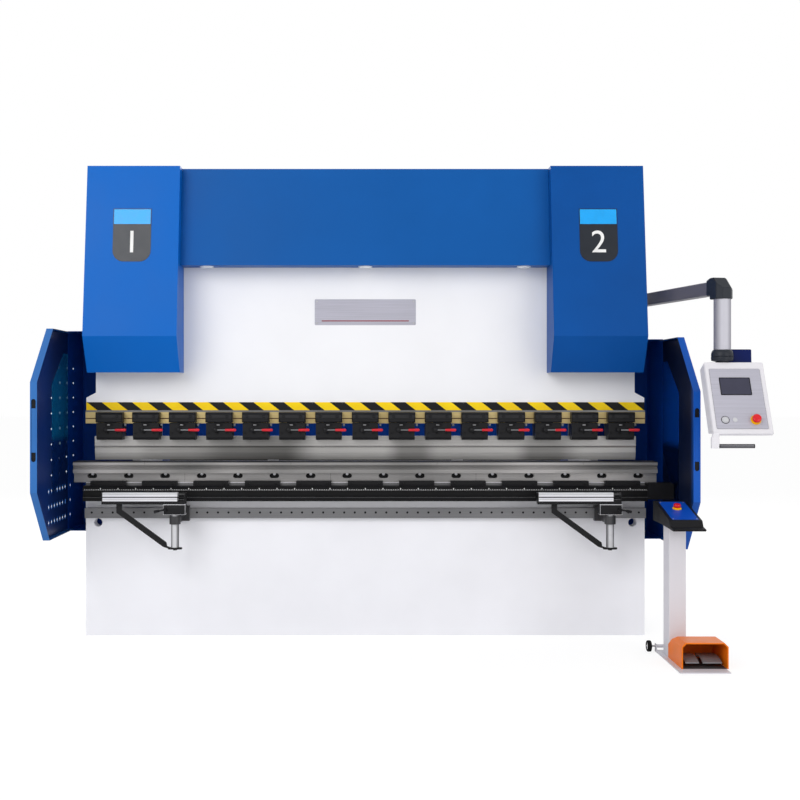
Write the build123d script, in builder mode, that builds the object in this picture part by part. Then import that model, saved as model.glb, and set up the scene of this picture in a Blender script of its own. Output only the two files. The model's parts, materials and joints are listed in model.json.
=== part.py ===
"""Hydraulic press brake, 3.2 m working length, with pendant control and a rolling foot switch.

Millimetres. The origin is on the floor, under the bending line, at the middle of the bed.
+X runs along the bed to the operator's right, -Y points to the operator and +Z is up.
The ram is drawn at the bottom of its stroke, with the punch just clear of the die.
"""

import os
from math import atan2, cos, radians, sin, tan

from build123d import *

os.makedirs("parts", exist_ok=True)

# ---------------------------------------------------------------- driving dimensions
running_gap = 0.3  # left between parts that move on each other
pin_clearance = 0.1  # radial, round pins, rods and spigots
sheet = 3.0  # folded sheet of the hoods, covers and guards

# bed
bed_length = 3200.0
bed_thickness = 80.0
bed_height = 876.0
lifting_hole_diameter = 48.0
lifting_hole_inset = 70.0
lifting_hole_height = 646.0

# side frames
frame_clear_width = 2700.0
frame_corner_run = 350.0
frame_thickness = 50.0
frame_rear = 1150.0
throat_depth = 320.0
throat_bottom = 820.0
throat_top = 1540.0
throat_radius = 60.0
guide_depth = 40.0
guide_width = 120.0
guide_bottom = 1560.0
guide_height = 190.0
foot_length = 200.0
foot_width = 140.0
foot_thickness = 30.0
anchor_hole_diameter = 26.0
front_foot_y = 160.0
rear_foot_y = 1000.0

# ram and cylinders
ram_thickness = 60.0
ram_bottom = 1289.0
ram_flange_height = 72.0
ram_flange_step = 55.0
ram_flange_slope = 29.0
ram_shoulder = 1760.0
ram_top = 2350.0
ram_core_length = 2200.0
ram_stroke = 150.0
core_clearance = 80.0
cylinder_diameter = 240.0
cylinder_bore_diameter = 180.0
cylinder_bottom = 1960.0
cylinder_length = 600.0
gland_height = 40.0
cylinder_cap = 60.0
rod_diameter = 120.0
rod_foot_height = 30.0
piston_height = 60.0
frame_pad = 5.0  # frame edge behind the cylinder wall
valve_block = 120.0
valve_block_height = 80.0

# oil tank and pump
tank_front = 200.0
tank_depth = 500.0
tank_bottom = 2080.0
tank_top = 2640.0
tank_rib_pitch = 300.0
tank_rib_depth = 12.0
tank_wall = 8.0
filler_x = -800.0
level_gauge_x = -450.0
pump_x = 450.0
pump_height = 2330.0
pump_diameter = 130.0
pump_length = 90.0
motor_diameter = 220.0
motor_length = 280.0
cowl_length = 60.0
motor_fins = 18

# hoods and top cover
hood_inner_x = 1040.0
hood_outer_x = 1560.0
hood_top = 2664.0
hood_top_front = 177.0
hood_kink_front = 307.0
hood_kink_height = 1702.0
hood_bottom_front = 190.0
hood_bottom = 1503.0
hood_rear_gap = 6.0  # behind the hood, to the face of the ram
hood_roof_rear = 200.0
hood_wing_rear = 110.0
cover_top_front = 97.0
cover_bottom_front = 172.0
cover_bottom = 2106.0
cover_gap = 1.0
cover_top_drop = 3.0
cover_flange = 60.0
lamp_diameter = 80.0
lamp_height = 8.0
lamp_pitch = 900.0
lamp_y = -104.0

# tooling
tool_bar_height = 75.0
tool_bar_front = 48.0
punch_length = 3110.0
punch_thickness = 30.0
punch_tip_gap = 8.0
punch_tip_width = 1.2
punch_step_drop = 57.0
punch_top = 1140.0
die_overhang = 70.0
die_width = 120.0
die_height = 66.0
die_holder_width = 60.0
die_holder_height = 54.0
keyhole_count = 16
keyhole_length = 55.0
keyhole_height = 27.0
keyhole_rise = 37.0
keyhole_bump = 9.0
die_clamp_count = 11
die_clamp_inset = 32.5
die_clamp_length = 200.0
die_clamp_height = 26.0
die_clamp_depth = 38.0

# upper quick clamps
clamp_count = 15
clamp_pitch = 208.0
clamp_width = 153.0
clamp_block_height = 68.0
clamp_block_drop = 11.0
clamp_block_front = 106.0
clamp_plate_height = 97.0
clamp_plate_front = 92.0
clamp_slot_width = 46.0
clamp_slot_height = 18.0
clamp_slot_depth = 9.0
clamp_slot_rise = 28.0
lever_offset = 18.0
lever_height = 1178.0
lever_hub_diameter = 26.0
lever_hub_height = 14.0
lever_shaft_diameter = 10.0
lever_reach = 111.0
grip_length = 63.0
grip_diameter = 17.0

# front rail, guide rail and support arms
rail_bottom = 775.0
rail_height = 85.0
rail_depth = 81.0
rail_recess = 9.0
rail_lip = 24.0
end_box_length = 147.0
end_box_bottom = 785.0
end_box_height = 92.0
guide_rail_bottom = 674.0
guide_rail_height = 57.0
guide_rail_depth = 32.0
guide_rail_groove = 6.0
carriage_length = 110.0
carriage_wall = 14.0
arm_axis_y = -250.0
arm_left_x = -1057.0
arm_right_x = 1360.0
post_diameter = 42.0
post_bottom = 529.0
post_top = 750.0
collar_wall = 10.0
collar_bottom = 660.0
collar_height = 45.0
arm_bracket_width = 50.0
arm_length = 420.0
arm_overhang = 15.0
arm_width = 45.0
arm_top = 835.0
arm_beam_height = 47.0
arm_slot = 8.0
arm_sole = 17.0
hub_block_length = 122.0
hub_block_width = 62.0
hub_block_bottom = 714.0
brace_width = 30.0
brace_reach = 310.0
brace_foot_run = 57.0
brace_foot_rise = 17.0
brace_thickness = 8.0
brace_drop = 40.0
foot_plate = 8.0

# side guards
guard_clearance = 165.0
guard_bottom = 580.0
guard_top = 1745.0
guard_rear = 200.0
guard_front = 609.0
guard_front_low = 861.0
guard_front_high = 1445.0
guard_bottom_run = 350.0
guard_top_run = 275.0
guard_flange = 37.0
guard_right_drop = 48.0
guard_hole_pitch = 87.0
guard_hole_columns = 4
guard_hole_spacing = 171.5
guard_hole_height = 40.0
guard_hole_length = 46.0
guard_hole_first_y = -175.0
guard_hole_first_z = 925.0
guard_hole_rows = 8
slit_count = 9
slit_rows = 3
slit_spacing = 62.0
slit_length = 22.0
grab_length = 332.0
grab_width = 24.0
grab_middle = 1191.0
grab_bar_length = 233.0
window_thickness = 4.0
guard_box_rear = 600.0
guard_box_step = 9.0
hinge_diameter = 16.0
hinge_offset = 10.0
hinge_length = 40.0
hinge_heights = (760.0, 1560.0)
rear_screen_y = 1100.0
rear_screen_bottom = 620.0
rear_screen_top = 1420.0
rear_screen_fold = 30.0

# back gauge
module_x = 900.0
module_width = 100.0
module_height = 80.0
module_length = 800.0
module_bottom = 790.0
module_bracket_reach = 260.0
module_bracket_drop = 240.0
module_bracket_thickness = 20.0
gauge_rest_y = 300.0
gauge_beam_length = 2500.0
gauge_beam_depth = 80.0
gauge_beam_height = 60.0
gauge_carriage = 120.0
gauge_carriage_height = 30.0
finger_x = 550.0
finger_width = 60.0
finger_length = 190.0
finger_height = 22.0
finger_saddle = 14.0

# pendant
pivot_reach = 240.0
pivot_y = 330.0
pivot_height = 1905.0
pivot_pin_diameter = 40.0
pivot_collar_diameter = 84.0
arm_section = 66.0
elbow_run_x = 215.0
elbow_run_y = 1020.0
elbow_width = 94.0
elbow_drop = 29.0
elbow_rise = 84.0
elbow_shoulder = 59.0
elbow_reach = 84.0
elbow_corner = 28.0
pendant_post_diameter = 88.0
pendant_post_length = 263.0
swivel_diameter = 106.0
swivel_height = 85.0
spigot_diameter = 50.0
spigot_height = 60.0
box_width = 306.0
box_height = 409.0
box_depth = 80.0
box_tilt = 26.0
box_offset = 46.0
box_corner_chamfer = 8.0
panel_width = 258.0
panel_height = 336.0
panel_recess = 3.0
panel_drop = 4.0
rear_housing_width = 129.0
rear_housing_offset = 53.0
rear_housing_rise = 89.0
rear_housing_drop = 148.0
rear_housing_depth = 75.0
handle_offset = 10.0
handle_length = 219.0
handle_diameter = 22.0
handle_drop = 60.0
handle_plate = 40.0
button_diameter = 28.0
estop_diameter = 40.0
estop_height = 22.0
estop_stem = 20.0
button_travel = 5.0
panel_button_u = -82.0
panel_estop_u = 72.0
panel_controls_v = -124.0

# foot-switch stand
stand_guard_gap = 10.0
stand_offset = 8.0
stand_width = 252.0
stand_rear = -462.0
stand_front = -999.0
stand_plate = 6.0
column_offset = 39.0
column_width = 90.0
column_rear = -523.0
column_depth = 122.0
console_width = 168.0
console_rear = -455.0
console_front = -893.0
console_bottom = 703.0
console_rear_height = 105.0
console_front_height = 37.0
console_ridge = 55.0
console_top_run = 305.0
console_chin_height = 4.0
console_chin_run = 18.0
console_nose_drop = 12.0
console_estop_run = 124.0
wheel_diameter = 60.0
wheel_width = 24.0
wheel_lift = 1.0
wheel_gap = 24.0
axle_diameter = 10.0
axle_tube_diameter = 18.0
axle_y = -482.0
pedal_hood_offset = 27.0
pedal_hood_width = 235.0
pedal_hood_depth = 276.0
pedal_hood_height = 131.0
pedal_hood_rear_height = 69.0
pedal_hood_slope = 112.0
pedal_hood_wall = 6.0
pedal_hood_corner = 20.0
pedal_left_width = 68.0
pedal_right_width = 96.0
pedal_length = 150.0
pedal_thickness = 6.0
pedal_pivot_height = 34.0
pedal_pin_setback = 97.0
pedal_pin_diameter = 10.0
pedal_rise = 12.0

# ---------------------------------------------------------------- shared places
bed_front = -bed_thickness / 2
bed_back = bed_thickness / 2
frame_inner = frame_clear_width / 2
frame_middle = frame_inner + frame_thickness / 2
frame_outer = frame_inner + frame_thickness
frame_top = hood_top - sheet
die_length = bed_length + 2 * die_overhang
guard_x = bed_length / 2 + guard_clearance
die_clamp_pitch = (bed_length - 2 * die_clamp_inset - die_clamp_length) / (die_clamp_count - 1)
console_left = guard_x - guard_flange - stand_guard_gap - console_width
column_left = console_left + column_offset
stand_left = console_left + stand_offset
stand_right = stand_left + stand_width
hood_left = stand_left + pedal_hood_offset
pivot_x = frame_outer + pivot_reach
elbow_x = pivot_x + elbow_run_x
elbow_y = pivot_y - elbow_run_y
elbow_bottom = pivot_height - elbow_drop
elbow_top = pivot_height + elbow_rise
pendant_post_bottom = elbow_bottom - pendant_post_length
swivel_bottom = pendant_post_bottom - swivel_height
box_x = elbow_x + box_offset
rear_housing_x = box_x + rear_housing_offset
rear_housing_top = swivel_bottom + rear_housing_rise
rear_housing_bottom = swivel_bottom - rear_housing_drop
rear_housing_back = elbow_y + rear_housing_depth
handle_x = box_x - box_width / 2 - handle_offset
ram_front = -ram_thickness / 2
ram_back = ram_thickness / 2
guide_front = ram_back + running_gap
guide_back = guide_front + guide_depth
cylinder_x = ram_core_length / 2 + core_clearance + cylinder_diameter / 2
cylinder_top = cylinder_bottom + cylinder_length
frame_high_front = cylinder_diameter / 2 + frame_pad
holder_top = bed_height + die_holder_height
die_top = holder_top + die_height
punch_tip = die_top + punch_tip_gap
tool_bar_bottom = ram_bottom - tool_bar_height
rail_top = rail_bottom + rail_height
rail_front = bed_front - rail_depth
guide_rail_top = guide_rail_bottom + guide_rail_height
guide_rail_front = bed_front - guide_rail_depth
hood_rear = ram_front - hood_rear_gap
hood_wing_bottom = ram_shoulder + ram_stroke + 30  # the open ram passes below it


def save(block, name):
    """Label a finished piece and write its STEP file."""
    block.part.label = name
    export_step(block.part, f"parts/{name}.step")


def save_shape(shape, name):
    """Label and write a piece that was made as a mirror image or a moved copy."""
    shape.label = name
    export_step(shape, f"parts/{name}.step")


# ---------------------------------------------------------------- side frames
# A C-shaped plate on each side: the throat clears the sheet, the nose carries the cylinder,
# and the guide pad below the nose steers the ram.
with BuildPart() as frame_blank:
    with BuildSketch(Plane.YZ.offset(frame_inner)):
        with BuildLine():
            Polyline(
                (bed_back, 0),
                (frame_rear, 0),
                (frame_rear, frame_top * 0.84),
                (frame_rear - frame_corner_run, frame_top),
                (frame_high_front, frame_top),
                (frame_high_front, guide_bottom + guide_height),
                (guide_back, guide_bottom + guide_height),
                (guide_back, guide_bottom),
                (guide_back + 40, throat_top),
                (guide_back + 40, throat_bottom),
                (bed_back, throat_bottom - 60),
                close=True,
            )
        make_face()
        with Locations((throat_depth / 2, (throat_bottom + throat_top) / 2)):
            RectangleRounded(throat_depth, throat_top - throat_bottom, throat_radius, mode=Mode.SUBTRACT)
        with Locations(((front_foot_y + rear_foot_y) / 2, 0)):
            Trapezoid(rear_foot_y - front_foot_y - foot_length, 120, 70, mode=Mode.SUBTRACT)
    extrude(amount=frame_thickness)
    # guide pad, as wide as the machined way on the back of the ram
    guide_z = guide_bottom + guide_height / 2
    with Locations((frame_middle, (guide_front + guide_back) / 2, guide_z)):
        Box(guide_width, guide_depth, guide_height)
    # welded feet with their anchor holes
    foot_x = frame_outer + foot_width / 2
    with Locations((foot_x, front_foot_y, foot_thickness / 2), (foot_x, rear_foot_y, foot_thickness / 2)):
        Box(foot_width, foot_length, foot_thickness)
    with Locations((foot_x, front_foot_y, foot_thickness), (foot_x, rear_foot_y, foot_thickness)):
        Hole(anchor_hole_diameter / 2)
    gusset_base = (frame_outer, foot_thickness)
    for foot_y in (front_foot_y, rear_foot_y):
        with BuildSketch(Plane.XZ.offset(-foot_y - 5)):
            with BuildLine():
                Polyline(
                    gusset_base,
                    (frame_outer + foot_width * 0.6, foot_thickness),
                    (frame_outer, foot_thickness + 90),
                    close=True,
                )
            make_face()
        extrude(amount=10)

save_shape(mirror(frame_blank.part, about=Plane.YZ), "side_frame_left")

# The right frame also carries the welded bracket and pin of the pendant arm.
pin_top = pivot_height + arm_section + 15
with BuildPart() as side_frame_right:
    add(frame_blank.part)
    with BuildSketch(Plane.XY.offset(pivot_height - running_gap)):
        with BuildLine():
            Polyline(
                (frame_outer, pivot_y - 60),
                (pivot_x, pivot_y - 45),
                (pivot_x, pivot_y + 45),
                (frame_outer, pivot_y + 60),
                close=True,
            )
        make_face()
        with Locations((pivot_x, pivot_y)):
            Circle(45)
    extrude(amount=-40)
    with Locations((pivot_x, pivot_y, (pivot_height - running_gap + pin_top) / 2)):
        Cylinder(pivot_pin_diameter / 2, pin_top - pivot_height + running_gap)
    with BuildSketch(Plane.XZ.offset(-pivot_y - 6)):
        with BuildLine():
            Polyline(
                (frame_outer, pivot_height - 40),
                (pivot_x - 30, pivot_height - 40),
                (frame_outer, pivot_height - 150),
                close=True,
            )
        make_face()
    extrude(amount=12)
save(side_frame_right, "side_frame_right")

# ---------------------------------------------------------------- bed plate
with BuildPart() as bed_plate:
    with Locations((0, 0, bed_height / 2)):
        Box(bed_length, bed_thickness, bed_height)
    lift_x = bed_length / 2 - lifting_hole_inset
    with Locations(Plane.XZ.offset(-bed_front)):
        with Locations((-lift_x, lifting_hole_height), (lift_x, lifting_hole_height)):
            Hole(lifting_hole_diameter / 2)
    chamfer(bed_plate.edges().filter_by(Axis.X).group_by(Axis.Z)[-1], 2)
save(bed_plate, "bed_plate")

# ---------------------------------------------------------------- oil tank and pump
# The tank is the upper tie between the two side frames.
tank_rear = tank_front + tank_depth
with BuildPart() as oil_tank:
    with Locations((0, (tank_front + tank_rear) / 2, (tank_bottom + tank_top) / 2)):
        Box(frame_clear_width, tank_depth, tank_top - tank_bottom)
        inside_depth = tank_depth - 2 * tank_wall
        inside_height = tank_top - tank_bottom - 2 * tank_wall
        Box(frame_clear_width - 2 * tank_wall, inside_depth, inside_height, mode=Mode.SUBTRACT)
    rib_count = int(frame_clear_width / tank_rib_pitch)
    rib_height = (tank_top - tank_bottom) * 0.8
    with Locations((0, tank_rear + tank_rib_depth / 2, (tank_bottom + tank_top) / 2)):
        with GridLocations(tank_rib_pitch, 1, rib_count, 1):
            Box(10, tank_rib_depth, rib_height)
    # filler neck and its cap on the roof, level gauge on the back
    with Locations((filler_x, tank_rear - 90, tank_top + 5)):
        Cylinder(45, 10)
    with Locations((level_gauge_x, tank_rear + 9, tank_bottom + 260)):
        Box(40, 18, 180)
save(oil_tank, "oil_tank")

motor_start = tank_rear + tank_rib_depth + pump_length
with BuildPart() as pump_motor:
    with BuildSketch(Plane.XZ.offset(-tank_rear)):
        with Locations((pump_x, pump_height)):
            Circle(pump_diameter / 2)
    extrude(amount=-(pump_length + tank_rib_depth))
    with BuildSketch(Plane.XZ.offset(-motor_start)):
        with Locations((pump_x, pump_height)):
            Circle(motor_diameter / 2 - 8)
            with PolarLocations(motor_diameter / 2 - 6, motor_fins):
                Rectangle(16, 5)
    extrude(amount=-motor_length)
    with BuildSketch(Plane.XZ.offset(-motor_start - motor_length)):
        with Locations((pump_x, pump_height)):
            Circle(motor_diameter / 2)
    extrude(amount=-cowl_length)
    with Locations((pump_x, motor_start + motor_length / 2, pump_height + motor_diameter / 2 + 18)):
        Box(110, 120, 50)
save(pump_motor, "pump_motor")

# ---------------------------------------------------------------- cylinders and rods
with BuildPart() as cylinders:
    for side in (-1, 1):
        with BuildSketch(Plane.XY.offset(cylinder_bottom)):
            with Locations((side * cylinder_x, 0)):
                Circle(cylinder_diameter / 2)
                Circle(rod_diameter / 2 + pin_clearance, mode=Mode.SUBTRACT)
        extrude(amount=gland_height)
        with BuildSketch(Plane.XY.offset(cylinder_bottom + gland_height)):
            with Locations((side * cylinder_x, 0)):
                Circle(cylinder_diameter / 2)
                Circle(cylinder_bore_diameter / 2, mode=Mode.SUBTRACT)
        extrude(amount=cylinder_length - gland_height - cylinder_cap)
        with BuildSketch(Plane.XY.offset(cylinder_top - cylinder_cap)):
            with Locations((side * cylinder_x, 0)):
                Circle(cylinder_diameter / 2)
        extrude(amount=cylinder_cap)
        # mounting pad against the nose of the side frame, and the valve block on top
        pad_front = cylinder_bore_diameter / 2 + 12
        pad_x = (cylinder_x + frame_middle) / 2
        pad_width = abs(frame_middle - cylinder_x) + frame_thickness
        pad_middle = (pad_front + frame_high_front) / 2
        with Locations((side * pad_x, pad_middle, cylinder_bottom + cylinder_length / 2)):
            Box(pad_width, frame_high_front - pad_front, cylinder_length)
        with Locations((side * cylinder_x, 0, cylinder_top + valve_block_height / 2)):
            Box(valve_block, valve_block, valve_block_height)
save(cylinders, "cylinders")

rod_foot_top = ram_shoulder + rod_foot_height
piston_bottom = cylinder_bottom + gland_height + piston_height
with BuildPart() as piston_rods:
    for side in (-1, 1):
        with Locations((side * cylinder_x, 0, ram_shoulder + rod_foot_height / 2)):
            Box(rod_diameter + 40, rod_diameter - 10, rod_foot_height)
        with BuildSketch(Plane.XY.offset(rod_foot_top)):
            with Locations((side * cylinder_x, 0)):
                Circle(rod_diameter / 2)
        extrude(amount=piston_bottom - rod_foot_top)
        with BuildSketch(Plane.XY.offset(piston_bottom)):
            with Locations((side * cylinder_x, 0)):
                Circle(cylinder_bore_diameter / 2 - pin_clearance)
        extrude(amount=piston_height)
save(piston_rods, "piston_rods")

# ---------------------------------------------------------------- hoods
# Folded sheet with a kinked front, open behind and below, with a roof that reaches back to
# the side frame and a wing on the outer side that closes off the cylinder.
with BuildPart() as hood_right:
    with BuildSketch(Plane.YZ.offset(hood_inner_x)):
        with BuildLine():
            Polyline(
                (hood_rear, hood_bottom),
                (-hood_bottom_front, hood_bottom),
                (-hood_kink_front, hood_kink_height),
                (-hood_top_front, hood_top),
                (hood_rear, hood_top),
                close=True,
            )
        make_face()
    extrude(amount=hood_outer_x - hood_inner_x)
    open_faces = [hood_right.faces().sort_by(Axis.Z)[0], hood_right.faces().sort_by(Axis.Y)[-1]]
    offset(amount=-sheet, openings=open_faces)
    hood_middle = (hood_inner_x + hood_outer_x) / 2
    with Locations((hood_middle, (hood_rear + hood_roof_rear) / 2, hood_top - sheet / 2)):
        Box(hood_outer_x - hood_inner_x, hood_roof_rear - hood_rear, sheet)
    wing_middle = (hood_wing_bottom + hood_top) / 2
    with Locations((hood_outer_x - sheet / 2, (hood_rear + hood_wing_rear) / 2, wing_middle)):
        Box(sheet, hood_wing_rear - hood_rear, hood_top - hood_wing_bottom)
save(hood_right, "hood_right")
save_shape(mirror(hood_right.part, about=Plane.YZ), "hood_left")

# ---------------------------------------------------------------- top cover and its lamps
cover_top = hood_top - cover_top_drop
cover_half = hood_inner_x - cover_gap
with BuildPart() as top_cover:
    with BuildSketch(Plane.YZ.offset(-cover_half)):
        with BuildLine():
            Polyline(
                (hood_rear, cover_bottom),
                (-cover_bottom_front, cover_bottom),
                (-cover_top_front, cover_top),
                (hood_rear, cover_top),
                close=True,
            )
        make_face()
    extrude(amount=2 * cover_half)
    offset(amount=-sheet, openings=[top_cover.faces().sort_by(Axis.Y)[-1]])
    with Locations((0, (hood_rear + tank_front) / 2, cover_top - sheet / 2)):
        Box(2 * cover_half, tank_front - hood_rear, sheet)
    with Locations((0, tank_front - sheet / 2, cover_top - cover_flange / 2)):
        Box(2 * cover_half, sheet, cover_flange)
save(top_cover, "top_cover")

with BuildPart() as cover_lamps:
    for lamp_x in (-lamp_pitch, 0, lamp_pitch):
        with BuildSketch(Plane.XY.offset(cover_bottom)):
            with Locations((lamp_x, lamp_y)):
                Circle(lamp_diameter / 2)
        extrude(amount=-lamp_height / 2)
        with BuildSketch(Plane.XY.offset(cover_bottom - lamp_height / 2)):
            with Locations((lamp_x, lamp_y)):
                Circle(lamp_diameter / 2 - 8)
        extrude(amount=-lamp_height / 2, taper=20)
save(cover_lamps, "cover_lamps")

# ---------------------------------------------------------------- front rail and end box
with BuildPart() as front_rail:
    with BuildSketch(Plane.YZ.offset(-bed_length / 2)):
        with BuildLine():
            Polyline(
                (bed_front, rail_bottom),
                (rail_front, rail_bottom),
                (rail_front, rail_bottom + rail_lip),
                (rail_front + rail_recess, rail_bottom + rail_lip + 6),
                (rail_front + rail_recess, rail_top - rail_lip - 4),
                (rail_front, rail_top - rail_lip + 2),
                (rail_front, rail_top - 8),
                (rail_front + 8, rail_top),
                (bed_front, rail_top),
                close=True,
            )
        make_face()
    extrude(amount=bed_length)
save(front_rail, "front_rail")

with BuildPart() as rail_end_box:
    box_middle = bed_length / 2 + end_box_length / 2
    with Locations((box_middle, (bed_front + rail_front) / 2, end_box_bottom + end_box_height / 2)):
        Box(end_box_length, rail_depth, end_box_height)
    fillet(rail_end_box.edges().filter_by(Axis.Y).group_by(Axis.X)[-1], 4)
save(rail_end_box, "rail_end_box")

# ---------------------------------------------------------------- linear guide rail
def guide_rail_outline(clearance=0.0):
    """Half-round-sided rail section in the YZ plane, grown by a clearance for the carriage."""
    front = guide_rail_front - clearance
    low = guide_rail_bottom - clearance
    high = guide_rail_top + clearance
    groove = guide_rail_groove - clearance
    neck = (guide_rail_front + bed_front) / 2
    half_neck = guide_rail_groove + 2
    return [
        (bed_front, low),
        (neck + half_neck, low),
        (neck, low + groove),
        (neck - half_neck, low),
        (front, low),
        (front, high),
        (neck - half_neck, high),
        (neck, high - groove),
        (neck + half_neck, high),
        (bed_front, high),
    ]


with BuildPart() as guide_rail:
    with BuildSketch(Plane.YZ.offset(-bed_length / 2)):
        with BuildLine():
            Polyline(*guide_rail_outline(), close=True)
        make_face()
    extrude(amount=bed_length)
save(guide_rail, "guide_rail")

# ---------------------------------------------------------------- die holder, die and clamps
keyhole_pitch = die_length / keyhole_count
with BuildPart() as die_holder:
    with Locations((0, 0, bed_height + die_holder_height / 2)):
        Box(die_length, die_holder_width, die_holder_height)
    # keyhole windows that give access to the crowning wedges
    with BuildSketch(Plane.XZ.offset(die_holder_width / 2)):
        with Locations((0, bed_height + keyhole_rise)):
            with GridLocations(keyhole_pitch, 1, keyhole_count, 1):
                SlotOverall(keyhole_length, keyhole_height)
        with Locations((0, bed_height + keyhole_rise + keyhole_height / 2 - 3)):
            with GridLocations(keyhole_pitch, 1, keyhole_count, 1):
                Circle(keyhole_bump)
    extrude(amount=-die_holder_width, mode=Mode.SUBTRACT)
save(die_holder, "die_holder")

vee_half_angle = radians(43)
vee_openings = {"top": 50.0, "front": 26.0, "back": 16.0}
with BuildPart() as lower_die:
    with BuildSketch(Plane.YZ.offset(-die_length / 2)):
        with Locations((0, holder_top + die_height / 2)):
            Rectangle(die_width, die_height)
        with BuildLine():
            half = vee_openings["top"] / 2
            Polyline((-half, die_top), (half, die_top), (0, die_top - half / tan(vee_half_angle)), close=True)
        make_face(mode=Mode.SUBTRACT)
        vee_z = holder_top + die_height / 2
        for end, name in ((-die_width / 2, "front"), (die_width / 2, "back")):
            half = vee_openings[name] / 2
            inward = half / tan(vee_half_angle) * (1 if end < 0 else -1)
            with BuildLine():
                Polyline((end, vee_z - half), (end, vee_z + half), (end + inward, vee_z), close=True)
            make_face(mode=Mode.SUBTRACT)
    extrude(amount=die_length)
save(lower_die, "lower_die")

with BuildPart() as die_clamps:
    clamp_front = bed_front - die_clamp_depth
    clamp_top = rail_top + die_clamp_height
    with BuildSketch(Plane.YZ):
        with BuildLine():
            Polyline(
                (clamp_front, rail_top),
                (bed_front, rail_top),
                (bed_front, bed_height),
                (-die_holder_width / 2, bed_height),
                (-die_holder_width / 2, clamp_top),
                (clamp_front + 6, clamp_top),
                (clamp_front, clamp_top - 6),
                close=True,
            )
        make_face()
    extrude(amount=die_clamp_length / 2, both=True)
    one_clamp = die_clamps.part
    with GridLocations(die_clamp_pitch, 1, die_clamp_count, 1):
        add(one_clamp)
save(die_clamps, "die_clamps")

# ---------------------------------------------------------------- ram
flange_top = ram_bottom + ram_flange_height
ram_upper_half = bed_length / 2 - ram_flange_step
with BuildPart() as ram_plate:
    with BuildSketch(Plane.XZ.offset(-ram_back)):
        with BuildLine():
            Polyline(
                (0, ram_bottom),
                (bed_length / 2, ram_bottom),
                (bed_length / 2, flange_top),
                (ram_upper_half, flange_top + ram_flange_slope),
                (ram_upper_half, ram_shoulder),
                (ram_core_length / 2, ram_shoulder),
                (ram_core_length / 2, ram_top),
                (0, ram_top),
                close=True,
            )
        make_face()
        mirror(about=Plane.YZ)
    extrude(amount=ram_thickness)
save(ram_plate, "ram_plate")

with BuildPart() as tool_bar:
    groove_z = tool_bar_bottom + 26
    with BuildSketch(Plane.YZ.offset(-bed_length / 2)):
        with BuildLine():
            Polyline(
                (-tool_bar_front, tool_bar_bottom),
                (ram_back, tool_bar_bottom),
                (ram_back, ram_bottom),
                (-tool_bar_front + 5, ram_bottom),
                (-tool_bar_front + 5, ram_bottom - 6),
                (-tool_bar_front, ram_bottom - 6),
                (-tool_bar_front, groove_z + 5),
                (-tool_bar_front + 6, groove_z + 5),
                (-tool_bar_front + 6, groove_z),
                (-tool_bar_front, groove_z),
                close=True,
            )
        make_face()
    extrude(amount=bed_length)
save(tool_bar, "tool_bar")

# ---------------------------------------------------------------- punch
punch_half = punch_thickness / 2
punch_step = punch_top - punch_step_drop
with BuildPart() as punch:
    with BuildSketch(Plane.YZ.offset(-punch_length / 2)):
        with BuildLine():
            Polyline(
                (-punch_half, punch_top),
                (-punch_half, punch_step),
                (-punch_half + 5, punch_step - 9),
                (-punch_half + 5, punch_tip + 42),
                (-punch_tip_width / 2, punch_tip),
                (punch_tip_width / 2, punch_tip),
                (punch_half, punch_tip + 52),
                (punch_half, punch_top),
                close=True,
            )
        make_face()
    extrude(amount=punch_length)
save(punch, "punch")

# ---------------------------------------------------------------- quick clamps and levers
clamp_row = [(i - (clamp_count - 1) / 2) * clamp_pitch for i in range(clamp_count)]
block_top = ram_bottom - clamp_block_drop
block_bottom = ram_bottom - clamp_block_height
plate_top = tool_bar_bottom + 4
plate_bottom = plate_top - clamp_plate_height
with BuildPart() as one_quick_clamp:
    # upper block, bolted to the tool bar
    with BuildSketch(Plane.YZ.offset(-clamp_width / 2)):
        with BuildLine():
            Polyline(
                (-tool_bar_front, block_top),
                (-tool_bar_front, block_bottom),
                (-clamp_block_front + 4, block_bottom),
                (-clamp_block_front, block_bottom + 6),
                (-clamp_block_front, block_top - 12),
                (-clamp_block_front + 12, block_top),
                close=True,
            )
        make_face()
    extrude(amount=clamp_width)
    chamfer(one_quick_clamp.edges().filter_by(Axis.Z).group_by(Axis.Y)[0], 7)
    # pressure plate and rear jaw, which grip the head of the punch between them
    with BuildSketch(Plane.YZ.offset(-clamp_width / 2 + 3)):
        with BuildLine():
            Polyline(
                (-punch_half, plate_bottom + 8),
                (-punch_half, punch_top),
                (punch_half, punch_top),
                (punch_half, plate_bottom + 8),
                (punch_half + 6, plate_bottom),
                (ram_back, plate_bottom),
                (ram_back, tool_bar_bottom),
                (-tool_bar_front, tool_bar_bottom),
                (-tool_bar_front, plate_top),
                (-clamp_plate_front, plate_top),
                (-clamp_plate_front, plate_bottom + 14),
                (-clamp_plate_front + 12, plate_bottom),
                (-punch_half - 8, plate_bottom),
                close=True,
            )
        make_face()
    extrude(amount=clamp_width - 6)
    # seat for the locking screw, joined to the block by a short neck
    with Locations((0, -tool_bar_front - 16, (block_bottom + plate_top) / 2 - 2)):
        Box(60, 32, block_bottom - plate_top + 8)
    with BuildSketch(Plane.XZ.offset(clamp_plate_front)):
        with Locations((0, lever_height + clamp_slot_rise)):
            RegularPolygon(clamp_slot_height / 2, 8)
            Rectangle(clamp_slot_width - clamp_slot_height, clamp_slot_height * 0.92)
    extrude(amount=-clamp_slot_depth, mode=Mode.SUBTRACT)

with BuildPart() as clamp_bodies:
    with GridLocations(clamp_pitch, 1, clamp_count, 1):
        add(one_quick_clamp.part)
save(clamp_bodies, "clamp_bodies")

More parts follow.
